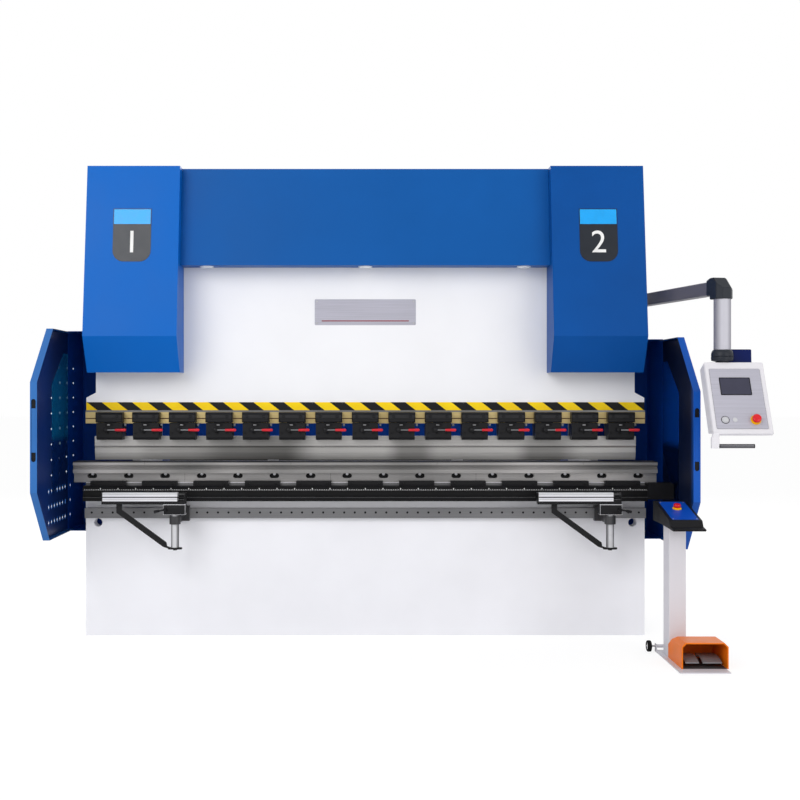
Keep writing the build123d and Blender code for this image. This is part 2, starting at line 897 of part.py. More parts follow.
lever_rear = clamp_plate_front + running_gap
lever_axis_y = -(lever_rear + lever_hub_height + lever_shaft_diameter / 2 + 2)
for number, clamp_x in enumerate(clamp_row, start=1):
    pivot = clamp_x - lever_offset
    with BuildPart() as clamp_lever:
        with BuildSketch(Plane.XZ.offset(lever_rear)):
            with Locations((pivot, lever_height)):
                RegularPolygon(lever_hub_diameter / 2, 16)
        extrude(amount=lever_hub_height + lever_shaft_diameter / 2 + 2)
        shaft_plane = Plane(origin=(pivot, lever_axis_y, lever_height), x_dir=(0, 1, 0), z_dir=(1, 0, 0))
        with BuildSketch(shaft_plane):
            RegularPolygon(lever_shaft_diameter / 2, 8)
        extrude(amount=lever_reach - grip_length)
        with BuildSketch(shaft_plane.offset(lever_reach - grip_length)):
            RegularPolygon(grip_diameter / 2, 10)
        extrude(amount=grip_length)
    save(clamp_lever, f"clamp_lever_{number:02d}")

# ---------------------------------------------------------------- side guards
# Each guard is a pan-shaped door on two hinges at its rear edge. Behind it a fixed box of the
# same sheet closes the side of the throat.
guard_outline = [
    (guard_rear, guard_bottom),
    (-guard_bottom_run, guard_bottom),
    (-guard_front, guard_front_low),
    (-guard_front, guard_front_high),
    (-guard_top_run, guard_top),
    (guard_rear, guard_top),
]
hinge_x = guard_x + hinge_offset
hinge_y = guard_rear + sheet
window_outline = [
    (-172, 1436),
    (88, 1618),
    (guard_rear - 12, 1618),
    (guard_rear - 12, 1101),
    (-109, 820),
    (-172, 825),
]


def diamond(length, height):
    """Diamond-shaped perforation, centred on the origin."""
    with BuildSketch() as outline:
        with BuildLine():
            Polyline((-length / 2, 0), (0, height / 2), (length / 2, 0), (0, -height / 2), close=True)
        make_face()
    return outline.sketch


large_hole = diamond(guard_hole_length, guard_hole_height)
small_hole = diamond(slit_length, guard_hole_height)

hole_rows = range(guard_hole_rows)
hole_places = [
    (guard_hole_first_y + column * guard_hole_spacing, guard_hole_first_z + row * guard_hole_pitch)
    for column in range(guard_hole_columns)
    for row in hole_rows
]
door_holes = [place for place in hole_places if place[0] < guard_rear - guard_hole_length / 2 - sheet]
box_holes = [place for place in hole_places if place[0] > guard_rear + guard_hole_length]
slit_places = [
    (guard_hole_first_y - 60 + step * slit_spacing, guard_hole_first_z - (row + 1) * guard_hole_pitch)
    for step in range(slit_count)
    for row in range(slit_rows)
]
door_slits = [place for place in slit_places if place[0] < guard_rear - slit_length]
box_slits = [place for place in slit_places if place[0] > guard_rear + slit_length]

guard_plane = Plane.YZ.offset(guard_x - guard_flange)
with BuildPart() as guard:
    with BuildSketch(guard_plane):
        with BuildLine():
            Polyline(*guard_outline, close=True)
        make_face()
    extrude(amount=guard_flange)
    offset(amount=-sheet, openings=[guard.faces().sort_by(Axis.X)[0], guard.faces().sort_by(Axis.Y)[-1]])
    # grab slot in the front flange, with its bar set a little back
    flange_middle = guard_x - guard_flange / 2
    with BuildSketch(Plane.XZ.offset(guard_front)):
        with Locations((flange_middle, grab_middle)):
            SlotOverall(grab_length, grab_width, rotation=90)
    extrude(amount=-sheet, mode=Mode.SUBTRACT)
    with Locations((flange_middle + 3, -guard_front + sheet * 1.5, grab_middle)):
        Box(grab_width + 8, sheet, grab_bar_length)
    # door halves of the hinges
    for hinge_z in hinge_heights:
        with Locations((hinge_x, hinge_y, hinge_z + hinge_length / 2)):
            Cylinder(hinge_diameter / 2, hinge_length - running_gap)
        with Locations((guard_x + hinge_offset / 2, hinge_y - 12, hinge_z + hinge_length / 2)):
            Box(hinge_offset, 24, hinge_length - running_gap)

# the left door and box are perforated, the right ones are plain
with BuildPart() as guard_perforated:
    add(guard.part)
    with BuildSketch(Plane.YZ.offset(guard_x)):
        with Locations(*door_holes):
            add(large_hole)
        with Locations(*door_slits):
            add(small_hole)
    extrude(amount=-sheet, mode=Mode.SUBTRACT)

with BuildPart() as guard_window:
    with BuildSketch(Plane.YZ.offset(guard_x - sheet)):
        with BuildLine():
            Polyline(*window_outline, close=True)
        make_face()
    extrude(amount=-window_thickness)

box_floor = guard_bottom - guard_box_step
box_roof = guard_top + guard_box_step
box_front = hinge_y + running_gap
with BuildPart() as guard_box:
    panel_mid = (box_front + guard_box_rear) / 2
    panel_run = guard_box_rear - box_front
    with Locations((guard_x - sheet / 2, panel_mid, (box_floor + box_roof) / 2)):
        Box(sheet, panel_run, box_roof - box_floor)
    box_x_mid = (frame_outer + guard_x) / 2
    box_x_run = guard_x - frame_outer
    with Locations((box_x_mid, guard_box_rear - sheet / 2, (box_floor + box_roof) / 2)):
        Box(box_x_run, sheet, box_roof - box_floor)
    with Locations((box_x_mid, panel_mid, box_floor + sheet / 2), (box_x_mid, panel_mid, box_roof - sheet / 2)):
        Box(box_x_run, panel_run, sheet)
    # frame halves of the hinges
    for hinge_z in hinge_heights:
        with Locations((hinge_x, hinge_y, hinge_z - hinge_length / 2)):
            Cylinder(hinge_diameter / 2, hinge_length - running_gap)
        with Locations((guard_x + hinge_offset / 2, hinge_y + 12, hinge_z - hinge_length / 2)):
            Box(hinge_offset, 24, hinge_length - running_gap)

with BuildPart() as guard_box_perforated:
    add(guard_box.part)
    with BuildSketch(Plane.YZ.offset(guard_x)):
        with Locations(*box_holes):
            add(large_hole)
        with Locations(*box_slits):
            add(small_hole)
    extrude(amount=-sheet, mode=Mode.SUBTRACT)

drop = Pos(0, 0, -guard_right_drop)
save_shape(drop * guard.part, "guard_right")
save_shape(mirror(guard_perforated.part, about=Plane.YZ), "guard_left")
save_shape(drop * guard_window.part, "guard_window_right")
save_shape(mirror(guard_window.part, about=Plane.YZ), "guard_window_left")
with BuildPart() as guard_boxes:
    add(drop * guard_box.part)
    add(mirror(guard_box_perforated.part, about=Plane.YZ))
    # rear screen of the same sheet, folded at its upper and lower edges, between the side frames
    screen_middle = (rear_screen_bottom + rear_screen_top) / 2
    with Locations((0, rear_screen_y - sheet / 2, screen_middle)):
        Box(frame_clear_width, sheet, rear_screen_top - rear_screen_bottom)
    for fold_z in (rear_screen_bottom + sheet / 2, rear_screen_top - sheet / 2):
        with Locations((0, rear_screen_y + rear_screen_fold / 2 - sheet, fold_z)):
            Box(frame_clear_width, rear_screen_fold, sheet)
save(guard_boxes, "guard_boxes")

# ---------------------------------------------------------------- support arms
carriage_outer = guide_rail_front - carriage_wall
collar_radius = post_diameter / 2 + collar_wall
arm_beam_bottom = arm_top - arm_beam_height
sole_bottom = arm_beam_bottom - arm_sole


def make_carriage(axis_x):
    """Rail carriage with the bracket, collar and post that carry the swinging arm."""
    with BuildPart() as carriage:
        with BuildSketch(Plane.YZ.offset(axis_x - carriage_length / 2)):
            low = guide_rail_bottom - carriage_wall
            high = guide_rail_top + carriage_wall
            rear = bed_front - 6
            with BuildLine():
                Polyline((rear, low), (carriage_outer, low), (carriage_outer, high), (rear, high), close=True)
            make_face()
            with BuildLine():
                Polyline(*guide_rail_outline(running_gap), close=True)
            make_face(mode=Mode.SUBTRACT)
        extrude(amount=carriage_length)
        bracket_run = carriage_outer - arm_axis_y
        with Locations((axis_x, (carriage_outer + arm_axis_y) / 2, collar_bottom + collar_height / 2)):
            Box(arm_bracket_width, bracket_run, collar_height - 10)
        with Locations((axis_x, arm_axis_y, collar_bottom + collar_height / 2)):
            Cylinder(collar_radius, collar_height)
        post_start = post_bottom + running_gap
        with Locations((axis_x, arm_axis_y, (post_start + post_top) / 2)):
            Cylinder(post_diameter / 2, post_top - post_start)
    return carriage


def make_support_arm(axis_x):
    """Slotted beam, sole, hub block, diagonal brace and foot plate, all turning on the post."""
    with BuildPart() as arm:
        beam_start = axis_x + arm_overhang
        with BuildSketch(Plane.YZ.offset(beam_start)):
            beam_middle = arm_top - arm_beam_height / 2
            with Locations((arm_axis_y, beam_middle)):
                Rectangle(arm_width, arm_beam_height)
            slot_reach = arm_slot * 1.4
            with Locations(
                (arm_axis_y, arm_top - slot_reach / 2),
                (arm_axis_y - arm_width / 2 + slot_reach / 2, beam_middle),
                (arm_axis_y + arm_width / 2 - slot_reach / 2, beam_middle),
            ):
                Rectangle(arm_slot, slot_reach, mode=Mode.SUBTRACT)
        extrude(amount=-arm_length)
        with Locations((beam_start - arm_length / 2, arm_axis_y, sole_bottom + arm_sole / 2)):
            Box(arm_length, arm_width, arm_sole)
        block_height = sole_bottom - hub_block_bottom
        with Locations((axis_x, arm_axis_y, hub_block_bottom + block_height / 2)):
            Box(hub_block_length, hub_block_width, block_height)
        with Locations((axis_x, arm_axis_y, hub_block_bottom)):
            bore_depth = post_top - hub_block_bottom + running_gap
            Cylinder(
                post_diameter / 2 + pin_clearance,
                bore_depth,
                align=(Align.CENTER, Align.CENTER, Align.MIN),
                mode=Mode.SUBTRACT,
            )
        # brace from under the beam down to the foot plate: a bar of one width, bent at its top
        top_x = axis_x - brace_reach
        top_z = sole_bottom - brace_drop
        low_x = axis_x - brace_foot_run
        low_z = post_bottom + brace_foot_rise
        slope = atan2(top_z - low_z, low_x - top_x)
        half = brace_width / 2
        bend = half * (cos(slope) - (1 - sin(slope)) * tan(slope))
        post_side = axis_x - post_diameter / 2 - 1
        with BuildSketch(Plane.XZ.offset(-arm_axis_y)):
            with BuildLine():
                Polyline(
                    (top_x - half, sole_bottom),
                    (top_x - half, top_z - bend),
                    (low_x - half * sin(slope), low_z - half * cos(slope)),
                    (post_side, post_bottom - foot_plate),
                    (post_side, post_bottom),
                    (low_x + half * sin(slope) + 4, post_bottom + foot_plate),
                    (low_x + half * sin(slope), low_z + half * cos(slope)),
                    (top_x + half, top_z + bend),
                    (top_x + half, sole_bottom),
                    close=True,
                )
            make_face()
        extrude(amount=brace_thickness / 2, both=True)
        with BuildSketch(Plane.XY.offset(post_bottom - foot_plate)):
            with Locations((axis_x, arm_axis_y)):
                SlotOverall(post_diameter + 36, post_diameter - 4)
        extrude(amount=foot_plate)
    return arm


for side_name, axis_x in (("left", arm_left_x), ("right", arm_right_x)):
    save(make_carriage(axis_x), f"arm_carriage_{side_name}")
    save(make_support_arm(axis_x), f"support_arm_{side_name}")

# ---------------------------------------------------------------- back gauge
module_top = module_bottom + module_height
with BuildPart() as gauge_modules:
    for side in (-1, 1):
        with BuildSketch(Plane.XZ.offset(-bed_back)):
            with Locations((side * module_x, module_bottom + module_height / 2)):
                Rectangle(module_width, module_height)
                with Locations((-module_width / 2, 0), (module_width / 2, 0)):
                    Rectangle(16, 12, mode=Mode.SUBTRACT)
        extrude(amount=-module_length)
        # bracket under the module, against the back of the bed
        with BuildSketch(Plane.YZ.offset(side * module_x - module_bracket_thickness / 2)):
            with BuildLine():
                Polyline(
                    (bed_back, module_bottom),
                    (bed_back + module_bracket_reach, module_bottom),
                    (bed_back, module_bottom - module_bracket_drop),
                    close=True,
                )
            make_face()
        extrude(amount=module_bracket_thickness)
save(gauge_modules, "gauge_modules")

gauge_beam_bottom = module_top + gauge_carriage_height
gauge_beam_top = gauge_beam_bottom + gauge_beam_height
with BuildPart() as gauge_beam:
    with BuildSketch(Plane.YZ.offset(-gauge_beam_length / 2)):
        with Locations((gauge_rest_y, gauge_beam_bottom + gauge_beam_height / 2)):
            Rectangle(gauge_beam_depth, gauge_beam_height)
            with Locations((-gauge_beam_depth / 2, 0), (gauge_beam_depth / 2, 0)):
                Rectangle(20, 14, mode=Mode.SUBTRACT)
    extrude(amount=gauge_beam_length)
    for side in (-1, 1):
        riser = gauge_carriage_height - running_gap
        with Locations((side * module_x, gauge_rest_y, gauge_beam_bottom - riser / 2)):
            Box(gauge_carriage, gauge_beam_depth + 20, riser)
save(gauge_beam, "gauge_beam")

finger_bottom = die_top + 2
for side_name, side in (("left", -1), ("right", 1)):
    with BuildPart() as gauge_finger:
        saddle_front = gauge_rest_y - gauge_beam_depth / 2 - finger_saddle
        with BuildSketch(Plane.YZ.offset(side * finger_x - finger_width / 2)):
            with BuildLine():
                Polyline(
                    (saddle_front, gauge_beam_bottom + 6),
                    (saddle_front + finger_saddle - running_gap, gauge_beam_bottom + 6),
                    (saddle_front + finger_saddle - running_gap, gauge_beam_top + running_gap),
                    (gauge_rest_y + gauge_beam_depth / 2, gauge_beam_top + running_gap),
                    (gauge_rest_y + gauge_beam_depth / 2, finger_bottom + finger_height),
                    (gauge_rest_y - finger_length, finger_bottom + finger_height),
                    (gauge_rest_y - finger_length, finger_bottom),
                    (saddle_front - 30, finger_bottom),
                    (saddle_front, finger_bottom - 25),
                    close=True,
                )
            make_face()
        extrude(amount=finger_width)
        fillet(gauge_finger.edges().filter_by(Axis.Z).group_by(Axis.Y)[0], 12)
    save(gauge_finger, f"gauge_finger_{side_name}")

# ---------------------------------------------------------------- pendant arm
arm_run = ((elbow_x - pivot_x) ** 2 + (elbow_y - pivot_y) ** 2) ** 0.5
arm_direction = ((elbow_x - pivot_x) / arm_run, (elbow_y - pivot_y) / arm_run, 0)
arm_start = pivot_collar_diameter / 2 - 6
with BuildPart() as pendant_arm:
    with Locations((pivot_x, pivot_y, pivot_height + arm_section / 2)):
        Cylinder(pivot_collar_diameter / 2, arm_section)
    tube_plane = Plane(origin=(pivot_x, pivot_y, pivot_height + arm_section / 2), z_dir=arm_direction)
    with BuildSketch(tube_plane.offset(arm_start)):
        RectangleRounded(arm_section, arm_section, 6)
    extrude(amount=arm_run - arm_start)
    with Locations((pivot_x, pivot_y, pivot_height + arm_section / 2)):
        Cylinder(pivot_pin_diameter / 2 + pin_clearance, arm_section, mode=Mode.SUBTRACT)
    # elbow casting with a sloped crown, over the post
    across = (arm_direction[1], -arm_direction[0], 0)
    elbow_plane = Plane(origin=(elbow_x, elbow_y, 0), x_dir=arm_direction, z_dir=across)
    elbow_half = elbow_width / 2
    with BuildSketch(elbow_plane):
        with BuildLine():
            Polyline(
                (-elbow_half, elbow_bottom),
                (elbow_half, elbow_bottom),
                (elbow_half, elbow_bottom + elbow_shoulder),
                (-elbow_half * 0.2, elbow_top),
                (-elbow_half, elbow_top),
                (-elbow_reach, pivot_height + arm_section + 5),
                (-elbow_reach, pivot_height - 5),
                (-elbow_half - 4, pivot_height - 5),
                close=True,
            )
        make_face()
    extrude(amount=elbow_half, both=True)
    elbow_front = pendant_arm.edges().filter_by(Axis.Z).sort_by(Axis((0, 0, 0), arm_direction))[-2:]
    chamfer(elbow_front, elbow_corner)
    with BuildSketch(Plane.XY.offset(pendant_post_bottom)):
        with Locations((elbow_x, elbow_y)):
            Circle(pendant_post_diameter / 2)
            Circle(spigot_diameter / 2 + pin_clearance, mode=Mode.SUBTRACT)
    extrude(amount=elbow_bottom - pendant_post_bottom)
save(pendant_arm, "pendant_arm")

# ---------------------------------------------------------------- pendant box
tilt = radians(box_tilt)
face_normal = (0, -cos(tilt), sin(tilt))
front_edge_y = elbow_y - box_depth / 2 * cos(tilt)
front_edge_z = swivel_bottom + box_depth / 2 * sin(tilt) + 4
face_center = (
    box_x,
    front_edge_y - box_height / 2 * sin(tilt),
    front_edge_z - box_height / 2 * cos(tilt),
)
face_plane = Plane(origin=face_center, x_dir=(1, 0, 0), z_dir=face_normal)
stem_hole = estop_stem / 2 + pin_clearance
button_hole = button_diameter / 2 + pin_clearance

back_top_y = front_edge_y + box_depth * cos(tilt)
back_top_z = front_edge_z - box_depth * sin(tilt)
back_low_y = back_top_y - (back_top_z - rear_housing_bottom) * tan(tilt)
bottom_front_y = front_edge_y - box_height * sin(tilt)
bottom_front_z = front_edge_z - box_height * cos(tilt)
with BuildPart() as pendant_box:
    # tilted housing with a level floor
    with BuildSketch(Plane.YZ.offset(box_x - box_width / 2)):
        with BuildLine():
            Polyline(
                (front_edge_y, front_edge_z),
                (bottom_front_y, bottom_front_z),
                (back_top_y - (back_top_z - bottom_front_z) * tan(tilt), bottom_front_z),
                (back_top_y, back_top_z),
                close=True,
            )
        make_face()
    extrude(amount=box_width)
    front_face = pendant_box.faces().sort_by(Axis(face_center, face_normal))[-1]
    chamfer(front_face.edges(), box_corner_chamfer)
    with BuildSketch(face_plane):
        with Locations((0, -panel_drop)):
            Rectangle(panel_width, panel_height)
    extrude(amount=-panel_recess, mode=Mode.SUBTRACT)
    for place_u, hole_radius in ((panel_button_u, button_hole), (panel_estop_u, stem_hole)):
        with BuildSketch(face_plane.offset(-panel_recess)):
            with Locations((place_u, panel_controls_v)):
                Circle(hole_radius)
        extrude(amount=-20, mode=Mode.SUBTRACT)
    # swivel cap on the roof of the box, turning in the foot of the post
    swivel_top = pendant_post_bottom - running_gap
    with BuildSketch(Plane.XY.offset(swivel_bottom - 20)):
        with Locations((elbow_x, elbow_y)):
            Circle(swivel_diameter / 2 - 20)
    extrude(amount=20)
    with BuildSketch(Plane.XY.offset(swivel_bottom)):
        with Locations((elbow_x, elbow_y)):
            Circle(swivel_diameter / 2)
    extrude(amount=swivel_top - swivel_bottom)
    with BuildSketch(Plane.XY.offset(swivel_top)):
        with Locations((elbow_x, elbow_y)):
            Circle(spigot_diameter / 2)
    extrude(amount=spigot_height)
    # connection housing on the back
    with BuildSketch(Plane.YZ.offset(rear_housing_x - rear_housing_width / 2)):
        with BuildLine():
            Polyline(
                (back_top_y, rear_housing_top),
                (back_top_y - 4, back_top_z),
                (back_low_y - 4, rear_housing_bottom),
                (rear_housing_back, rear_housing_bottom),
                (rear_housing_back, rear_housing_top),
                close=True,
            )
        make_face()
    extrude(amount=rear_housing_width)
    # handle bar on its bracket, under the lower left corner
    handle_y = bottom_front_y + 8
    handle_height = bottom_front_z - handle_drop
    with BuildSketch(Plane.XZ.offset(-handle_y)):
        with BuildLine():
            Polyline(
                (handle_x - 2, handle_height - handle_diameter / 2),
                (handle_x + handle_plate, handle_height - handle_diameter / 2),
                (handle_x + handle_plate, bottom_front_z + 10),
                (box_x - box_width / 2 + 2, bottom_front_z + 10),
                (handle_x - 2, bottom_front_z - 20),
                close=True,
            )
        make_face()
    extrude(amount=5, both=True)
    with Locations(Plane(origin=(handle_x, handle_y, handle_height), z_dir=(1, 0, 0))):
        Cylinder(handle_diameter / 2, handle_length, align=(Align.CENTER, Align.CENTER, Align.MIN))
save(pendant_box, "pendant_box")

with BuildPart() as pendant_button:
    button_plane = face_plane.offset(button_travel - panel_recess + 1)
    with BuildSketch(button_plane):
        with Locations((panel_button_u, panel_controls_v)):
            Circle(button_diameter / 2)
    extrude(amount=-16)
save(pendant_button, "pendant_button")


def mushroom(face, height):
    """Emergency-stop head and stem, standing on a face plane."""
    with BuildPart() as head:
        with BuildSketch(face.offset(height)):
            RegularPolygon(estop_diameter / 2, 24)
        extrude(amount=estop_height * 0.55)
        with BuildSketch(face.offset(height + estop_height * 0.55)):
            RegularPolygon(estop_diameter / 2, 24)
        extrude(amount=estop_height * 0.3, taper=40)
        with BuildSketch(face.offset(height)):
            RegularPolygon(estop_stem / 2, 16)
        extrude(amount=-height - 8)
    return head


head_clearance = button_travel + 2
button_face = face_plane.offset(-panel_recess)
estop_origin = button_face.from_local_coords((panel_estop_u, panel_controls_v, 0))
pendant_estop_face = Plane(origin=estop_origin, x_dir=(1, 0, 0), z_dir=face_normal)
save(mushroom(pendant_estop_face, head_clearance), "pendant_estop")

# ---------------------------------------------------------------- foot-switch stand
wheel_z = wheel_diameter / 2 + wheel_lift
column_middle = column_left + column_width / 2
column_front = column_rear - column_depth
with BuildPart() as stand_base:
    base_x = (stand_left + stand_right) / 2
    base_y = (stand_rear + stand_front) / 2
    with Locations((base_x, base_y, stand_plate / 2)):
        Box(stand_right - stand_left, stand_rear - stand_front, stand_plate)
    with BuildSketch(Plane.XY.offset(stand_plate)):
        with Locations((column_middle, (column_rear + column_front) / 2)):
            RectangleRounded(column_width, column_depth, 6)
    extrude(amount=console_bottom - stand_plate)
    # ears that hold the wheel axle
    with BuildSketch(Plane.YZ.offset(stand_left)):
        with BuildLine():
            Polyline(
                (stand_rear, stand_plate),
                (axle_y - 22, stand_plate),
                (axle_y - 14, wheel_z + 12),
                (stand_rear, wheel_z + 12),
                close=True,
            )
        make_face()
        with Locations((axle_y, wheel_z)):
            Circle(axle_diameter / 2 + pin_clearance, mode=Mode.SUBTRACT)
    extrude(amount=4)
    with BuildSketch(Plane.YZ.offset(stand_right - 4)):
        with BuildLine():
            Polyline(
                (stand_rear, stand_plate),
                (axle_y - 22, stand_plate),
                (axle_y - 14, wheel_z + 12),
                (stand_rear, wheel_z + 12),
                close=True,
            )
        make_face()
        with Locations((axle_y, wheel_z)):
            Circle(axle_diameter / 2 + pin_clearance, mode=Mode.SUBTRACT)
    extrude(amount=4)
    # tube round the axle, from ear to ear
    with BuildSketch(Plane.YZ.offset(stand_left)):
        with Locations((axle_y, wheel_z)):
            Circle(axle_tube_diameter / 2)
            Circle(axle_diameter / 2 + pin_clearance, mode=Mode.SUBTRACT)
    extrude(amount=stand_right - stand_left)
save(stand_base, "stand_base")

with BuildPart() as stand_wheels:
    axle_start = stand_left - wheel_width - wheel_gap
    axle_end = stand_right + wheel_width + wheel_gap
    with BuildSketch(Plane.YZ.offset(axle_start)):
        with Locations((axle_y, wheel_z)):
            Circle(axle_diameter / 2)
    extrude(amount=axle_end - axle_start)
    for wheel_start in (axle_start, stand_right + wheel_gap):
        with BuildSketch(Plane.YZ.offset(wheel_start)):
            with Locations((axle_y, wheel_z)):
                Circle(wheel_diameter / 2)
        extrude(amount=wheel_width)
    rims = stand_wheels.edges().filter_by(GeomType.CIRCLE).group_by(SortBy.RADIUS)[-1]
    chamfer(rims, 3)
save(stand_wheels, "stand_wheels")

# console: wedge-shaped housing, sloping down to the front
console_top = console_bottom + console_rear_height
console_nose = console_bottom + console_front_height
ridge_y = console_rear - console_ridge
slope_end_y = ridge_y - console_top_run
console_slope = atan2(console_top - console_nose, console_top_run)
slope_normal = (0, -sin(console_slope), cos(console_slope))
estop_y = ridge_y - console_estop_run
estop_z = console_top - console_estop_run * tan(console_slope)
console_middle = console_left + console_width / 2
console_face = Plane(origin=(console_middle, estop_y, estop_z), x_dir=(1, 0, 0), z_dir=slope_normal)
with BuildPart() as stand_console:
    with BuildSketch(Plane.YZ.offset(console_left)):
        with BuildLine():
            Polyline(
                (console_rear, console_bottom),
                (column_front, console_bottom),
                (console_front + 8, console_bottom - console_nose_drop),
                (console_front, console_bottom - console_nose_drop / 2),
                (console_front + 8, console_bottom),
                (slope_end_y - console_chin_run, console_bottom + console_chin_height),
                (slope_end_y, console_nose),
                (ridge_y, console_top),
                (console_rear, console_top),
                close=True,
            )
        make_face()
    extrude(amount=console_width)
    with BuildSketch(console_face):
        Circle(estop_diameter / 2 + 4)
    extrude(amount=4)
    with BuildSketch(console_face.offset(4)):
        Circle(stem_hole)
    extrude(amount=-24, mode=Mode.SUBTRACT)
save(stand_console, "stand_console")

save(mushroom(console_face.offset(4), head_clearance), "console_estop")

# pedal hood: a sloped shell with its mouth to the front, open over the base plate
hood_rear_y = column_front
hood_front_y = hood_rear_y - pedal_hood_depth
pedal_hood_top = stand_plate + pedal_hood_height
pin_y = hood_rear_y - pedal_pin_setback
with BuildPart() as pedal_hood:
    with BuildSketch(Plane.YZ.offset(hood_left)):
        with BuildLine():
            Polyline(
                (hood_rear_y, stand_plate),
                (hood_front_y, stand_plate),
                (hood_front_y, pedal_hood_top),
                (hood_rear_y - pedal_hood_slope, pedal_hood_top),
                (hood_rear_y, stand_plate + pedal_hood_rear_height),
                close=True,
            )
        make_face()
    extrude(amount=pedal_hood_width)
    hood_shoulders = pedal_hood.edges().filter_by(Axis.Y).group_by(Axis.Z)[-1]
    chamfer(hood_shoulders, pedal_hood_corner)
    mouth_width = pedal_hood_width - 2 * pedal_hood_wall
    inner_corner = pedal_hood_corner - pedal_hood_wall * 0.4
    with BuildPart(mode=Mode.PRIVATE) as hood_cavity:
        with BuildSketch(Plane.YZ.offset(hood_left + pedal_hood_wall)):
            with BuildLine():
                Polyline(
                    (hood_rear_y - pedal_hood_wall, stand_plate),
                    (hood_front_y - 5, stand_plate),
                    (hood_front_y - 5, pedal_hood_top - pedal_hood_wall),
                    (hood_rear_y - pedal_hood_slope - 3, pedal_hood_top - pedal_hood_wall),
                    (hood_rear_y - pedal_hood_wall, stand_plate + pedal_hood_rear_height - pedal_hood_wall),
                    close=True,
                )
            make_face()
        extrude(amount=mouth_width)
        cavity_shoulders = hood_cavity.edges().filter_by(Axis.Y).group_by(Axis.Z)[-1]
        chamfer(cavity_shoulders, inner_corner)
    add(hood_cavity.part, mode=Mode.SUBTRACT)
    # the pin that both pedals turn on, from wall to wall
    pedal_pin_z = stand_plate + pedal_pivot_height
    with BuildSketch(Plane.YZ.offset(hood_left + pedal_hood_wall)):
        with Locations((pin_y, pedal_pin_z)):
            Circle(pedal_pin_diameter / 2)
    extrude(amount=mouth_width)
save(pedal_hood, "pedal_hood")

pedal_gap = (mouth_width - pedal_left_width - pedal_right_width) / 3
pedal_start = hood_left + pedal_hood_wall + pedal_gap
for side_name, pedal_x, pedal_width in (
    ("left", pedal_start, pedal_left_width),
    ("right", pedal_start + pedal_left_width + pedal_gap, pedal_right_width),
):
    with BuildPart() as pedal:
        # curved tread, hanging from a sleeve on the pin
        with BuildSketch(Plane.YZ.offset(pedal_x)):
            with Locations((pin_y, pedal_pin_z)):
                Circle(pedal_pin_diameter / 2 + 5)
            with BuildLine():
                tip_y = pin_y - pedal_length
                over = ThreePointArc(
                    (pin_y, pedal_pin_z + 9),
                    (pin_y - pedal_length / 2, pedal_pin_z + pedal_rise),
                    (tip_y, pedal_pin_z - 6),
                )
                Line(over @ 1, (tip_y, pedal_pin_z - 6 - pedal_thickness))
                under = ThreePointArc(
                    (tip_y, pedal_pin_z - 6 - pedal_thickness),
                    (pin_y - pedal_length / 2, pedal_pin_z + pedal_rise - pedal_thickness),
                    (pin_y, pedal_pin_z + 9 - pedal_thickness),
                )
                Line(under @ 1, over @ 0)
            make_face()
            with Locations((pin_y, pedal_pin_z)):
                Circle(pedal_pin_diameter / 2 + pin_clearance, mode=Mode.SUBTRACT)
        extrude(amount=pedal_width)
    save(pedal, f"pedal_{side_name}")
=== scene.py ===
# %% [markdown]
# # Dressing a press brake
# A press brake folds sheet metal between a punch on a heavy ram and a die on a bed. The solids
# of the machine arrive ready, each in its true place and already tied to the part that moves it.
# This lesson gives them paint and steel, and adds what is too fine for the solids: stripes,
# screws, rulers, badges, screens and grips. All lengths are metres, +X runs to the operator's
# right, -Y points to the operator and +Z is up.

# %% Load the machine
import json
from math import atan2, cos, floor, pi, radians, sin

import bmesh
import bpy
from mathutils import Matrix, Vector


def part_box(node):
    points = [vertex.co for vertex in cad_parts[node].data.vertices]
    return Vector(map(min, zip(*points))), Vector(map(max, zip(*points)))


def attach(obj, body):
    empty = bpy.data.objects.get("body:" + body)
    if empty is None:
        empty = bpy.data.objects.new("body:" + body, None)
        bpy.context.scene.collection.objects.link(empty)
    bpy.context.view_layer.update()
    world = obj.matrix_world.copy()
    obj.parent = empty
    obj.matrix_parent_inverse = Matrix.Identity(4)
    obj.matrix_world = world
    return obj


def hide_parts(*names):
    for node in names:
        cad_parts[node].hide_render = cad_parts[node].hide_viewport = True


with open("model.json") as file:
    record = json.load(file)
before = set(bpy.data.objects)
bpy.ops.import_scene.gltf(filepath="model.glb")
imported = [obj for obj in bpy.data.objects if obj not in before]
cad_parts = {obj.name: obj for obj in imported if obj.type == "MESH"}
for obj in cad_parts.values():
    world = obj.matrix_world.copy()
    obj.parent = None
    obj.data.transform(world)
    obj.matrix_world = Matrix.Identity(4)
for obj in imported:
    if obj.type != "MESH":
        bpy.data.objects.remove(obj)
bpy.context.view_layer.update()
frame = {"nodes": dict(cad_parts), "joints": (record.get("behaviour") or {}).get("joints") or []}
solids = frame["nodes"]
scene = bpy.context.scene

# %% [markdown]
# ## Colours
# Colours are easiest to judge as the 0 to 255 values that a screen shows, but the renderer
# counts light. One helper turns the first into the second, so that a colour looks as it is named.


# %% Screen colours to light
def linear(red, green, blue):
    """A screen colour, 0 to 255 a channel, as linear light with full alpha."""
    channels = []
    for value in (red, green, blue):
        share = value / 255
        channels.append(share / 12.92 if share <= 0.04045 else ((share + 0.055) / 1.055) ** 2.4)
    return (*channels, 1.0)


# %% [markdown]
# ## Finishes
# Every finish starts as a Principled shader. Powder coat on sheet steel has a faint orange peel
# and clouds of slightly different gloss, so noise drives its bump, roughness and tint. The noise
# reads Object coordinates, which stay with a piece when its body moves.


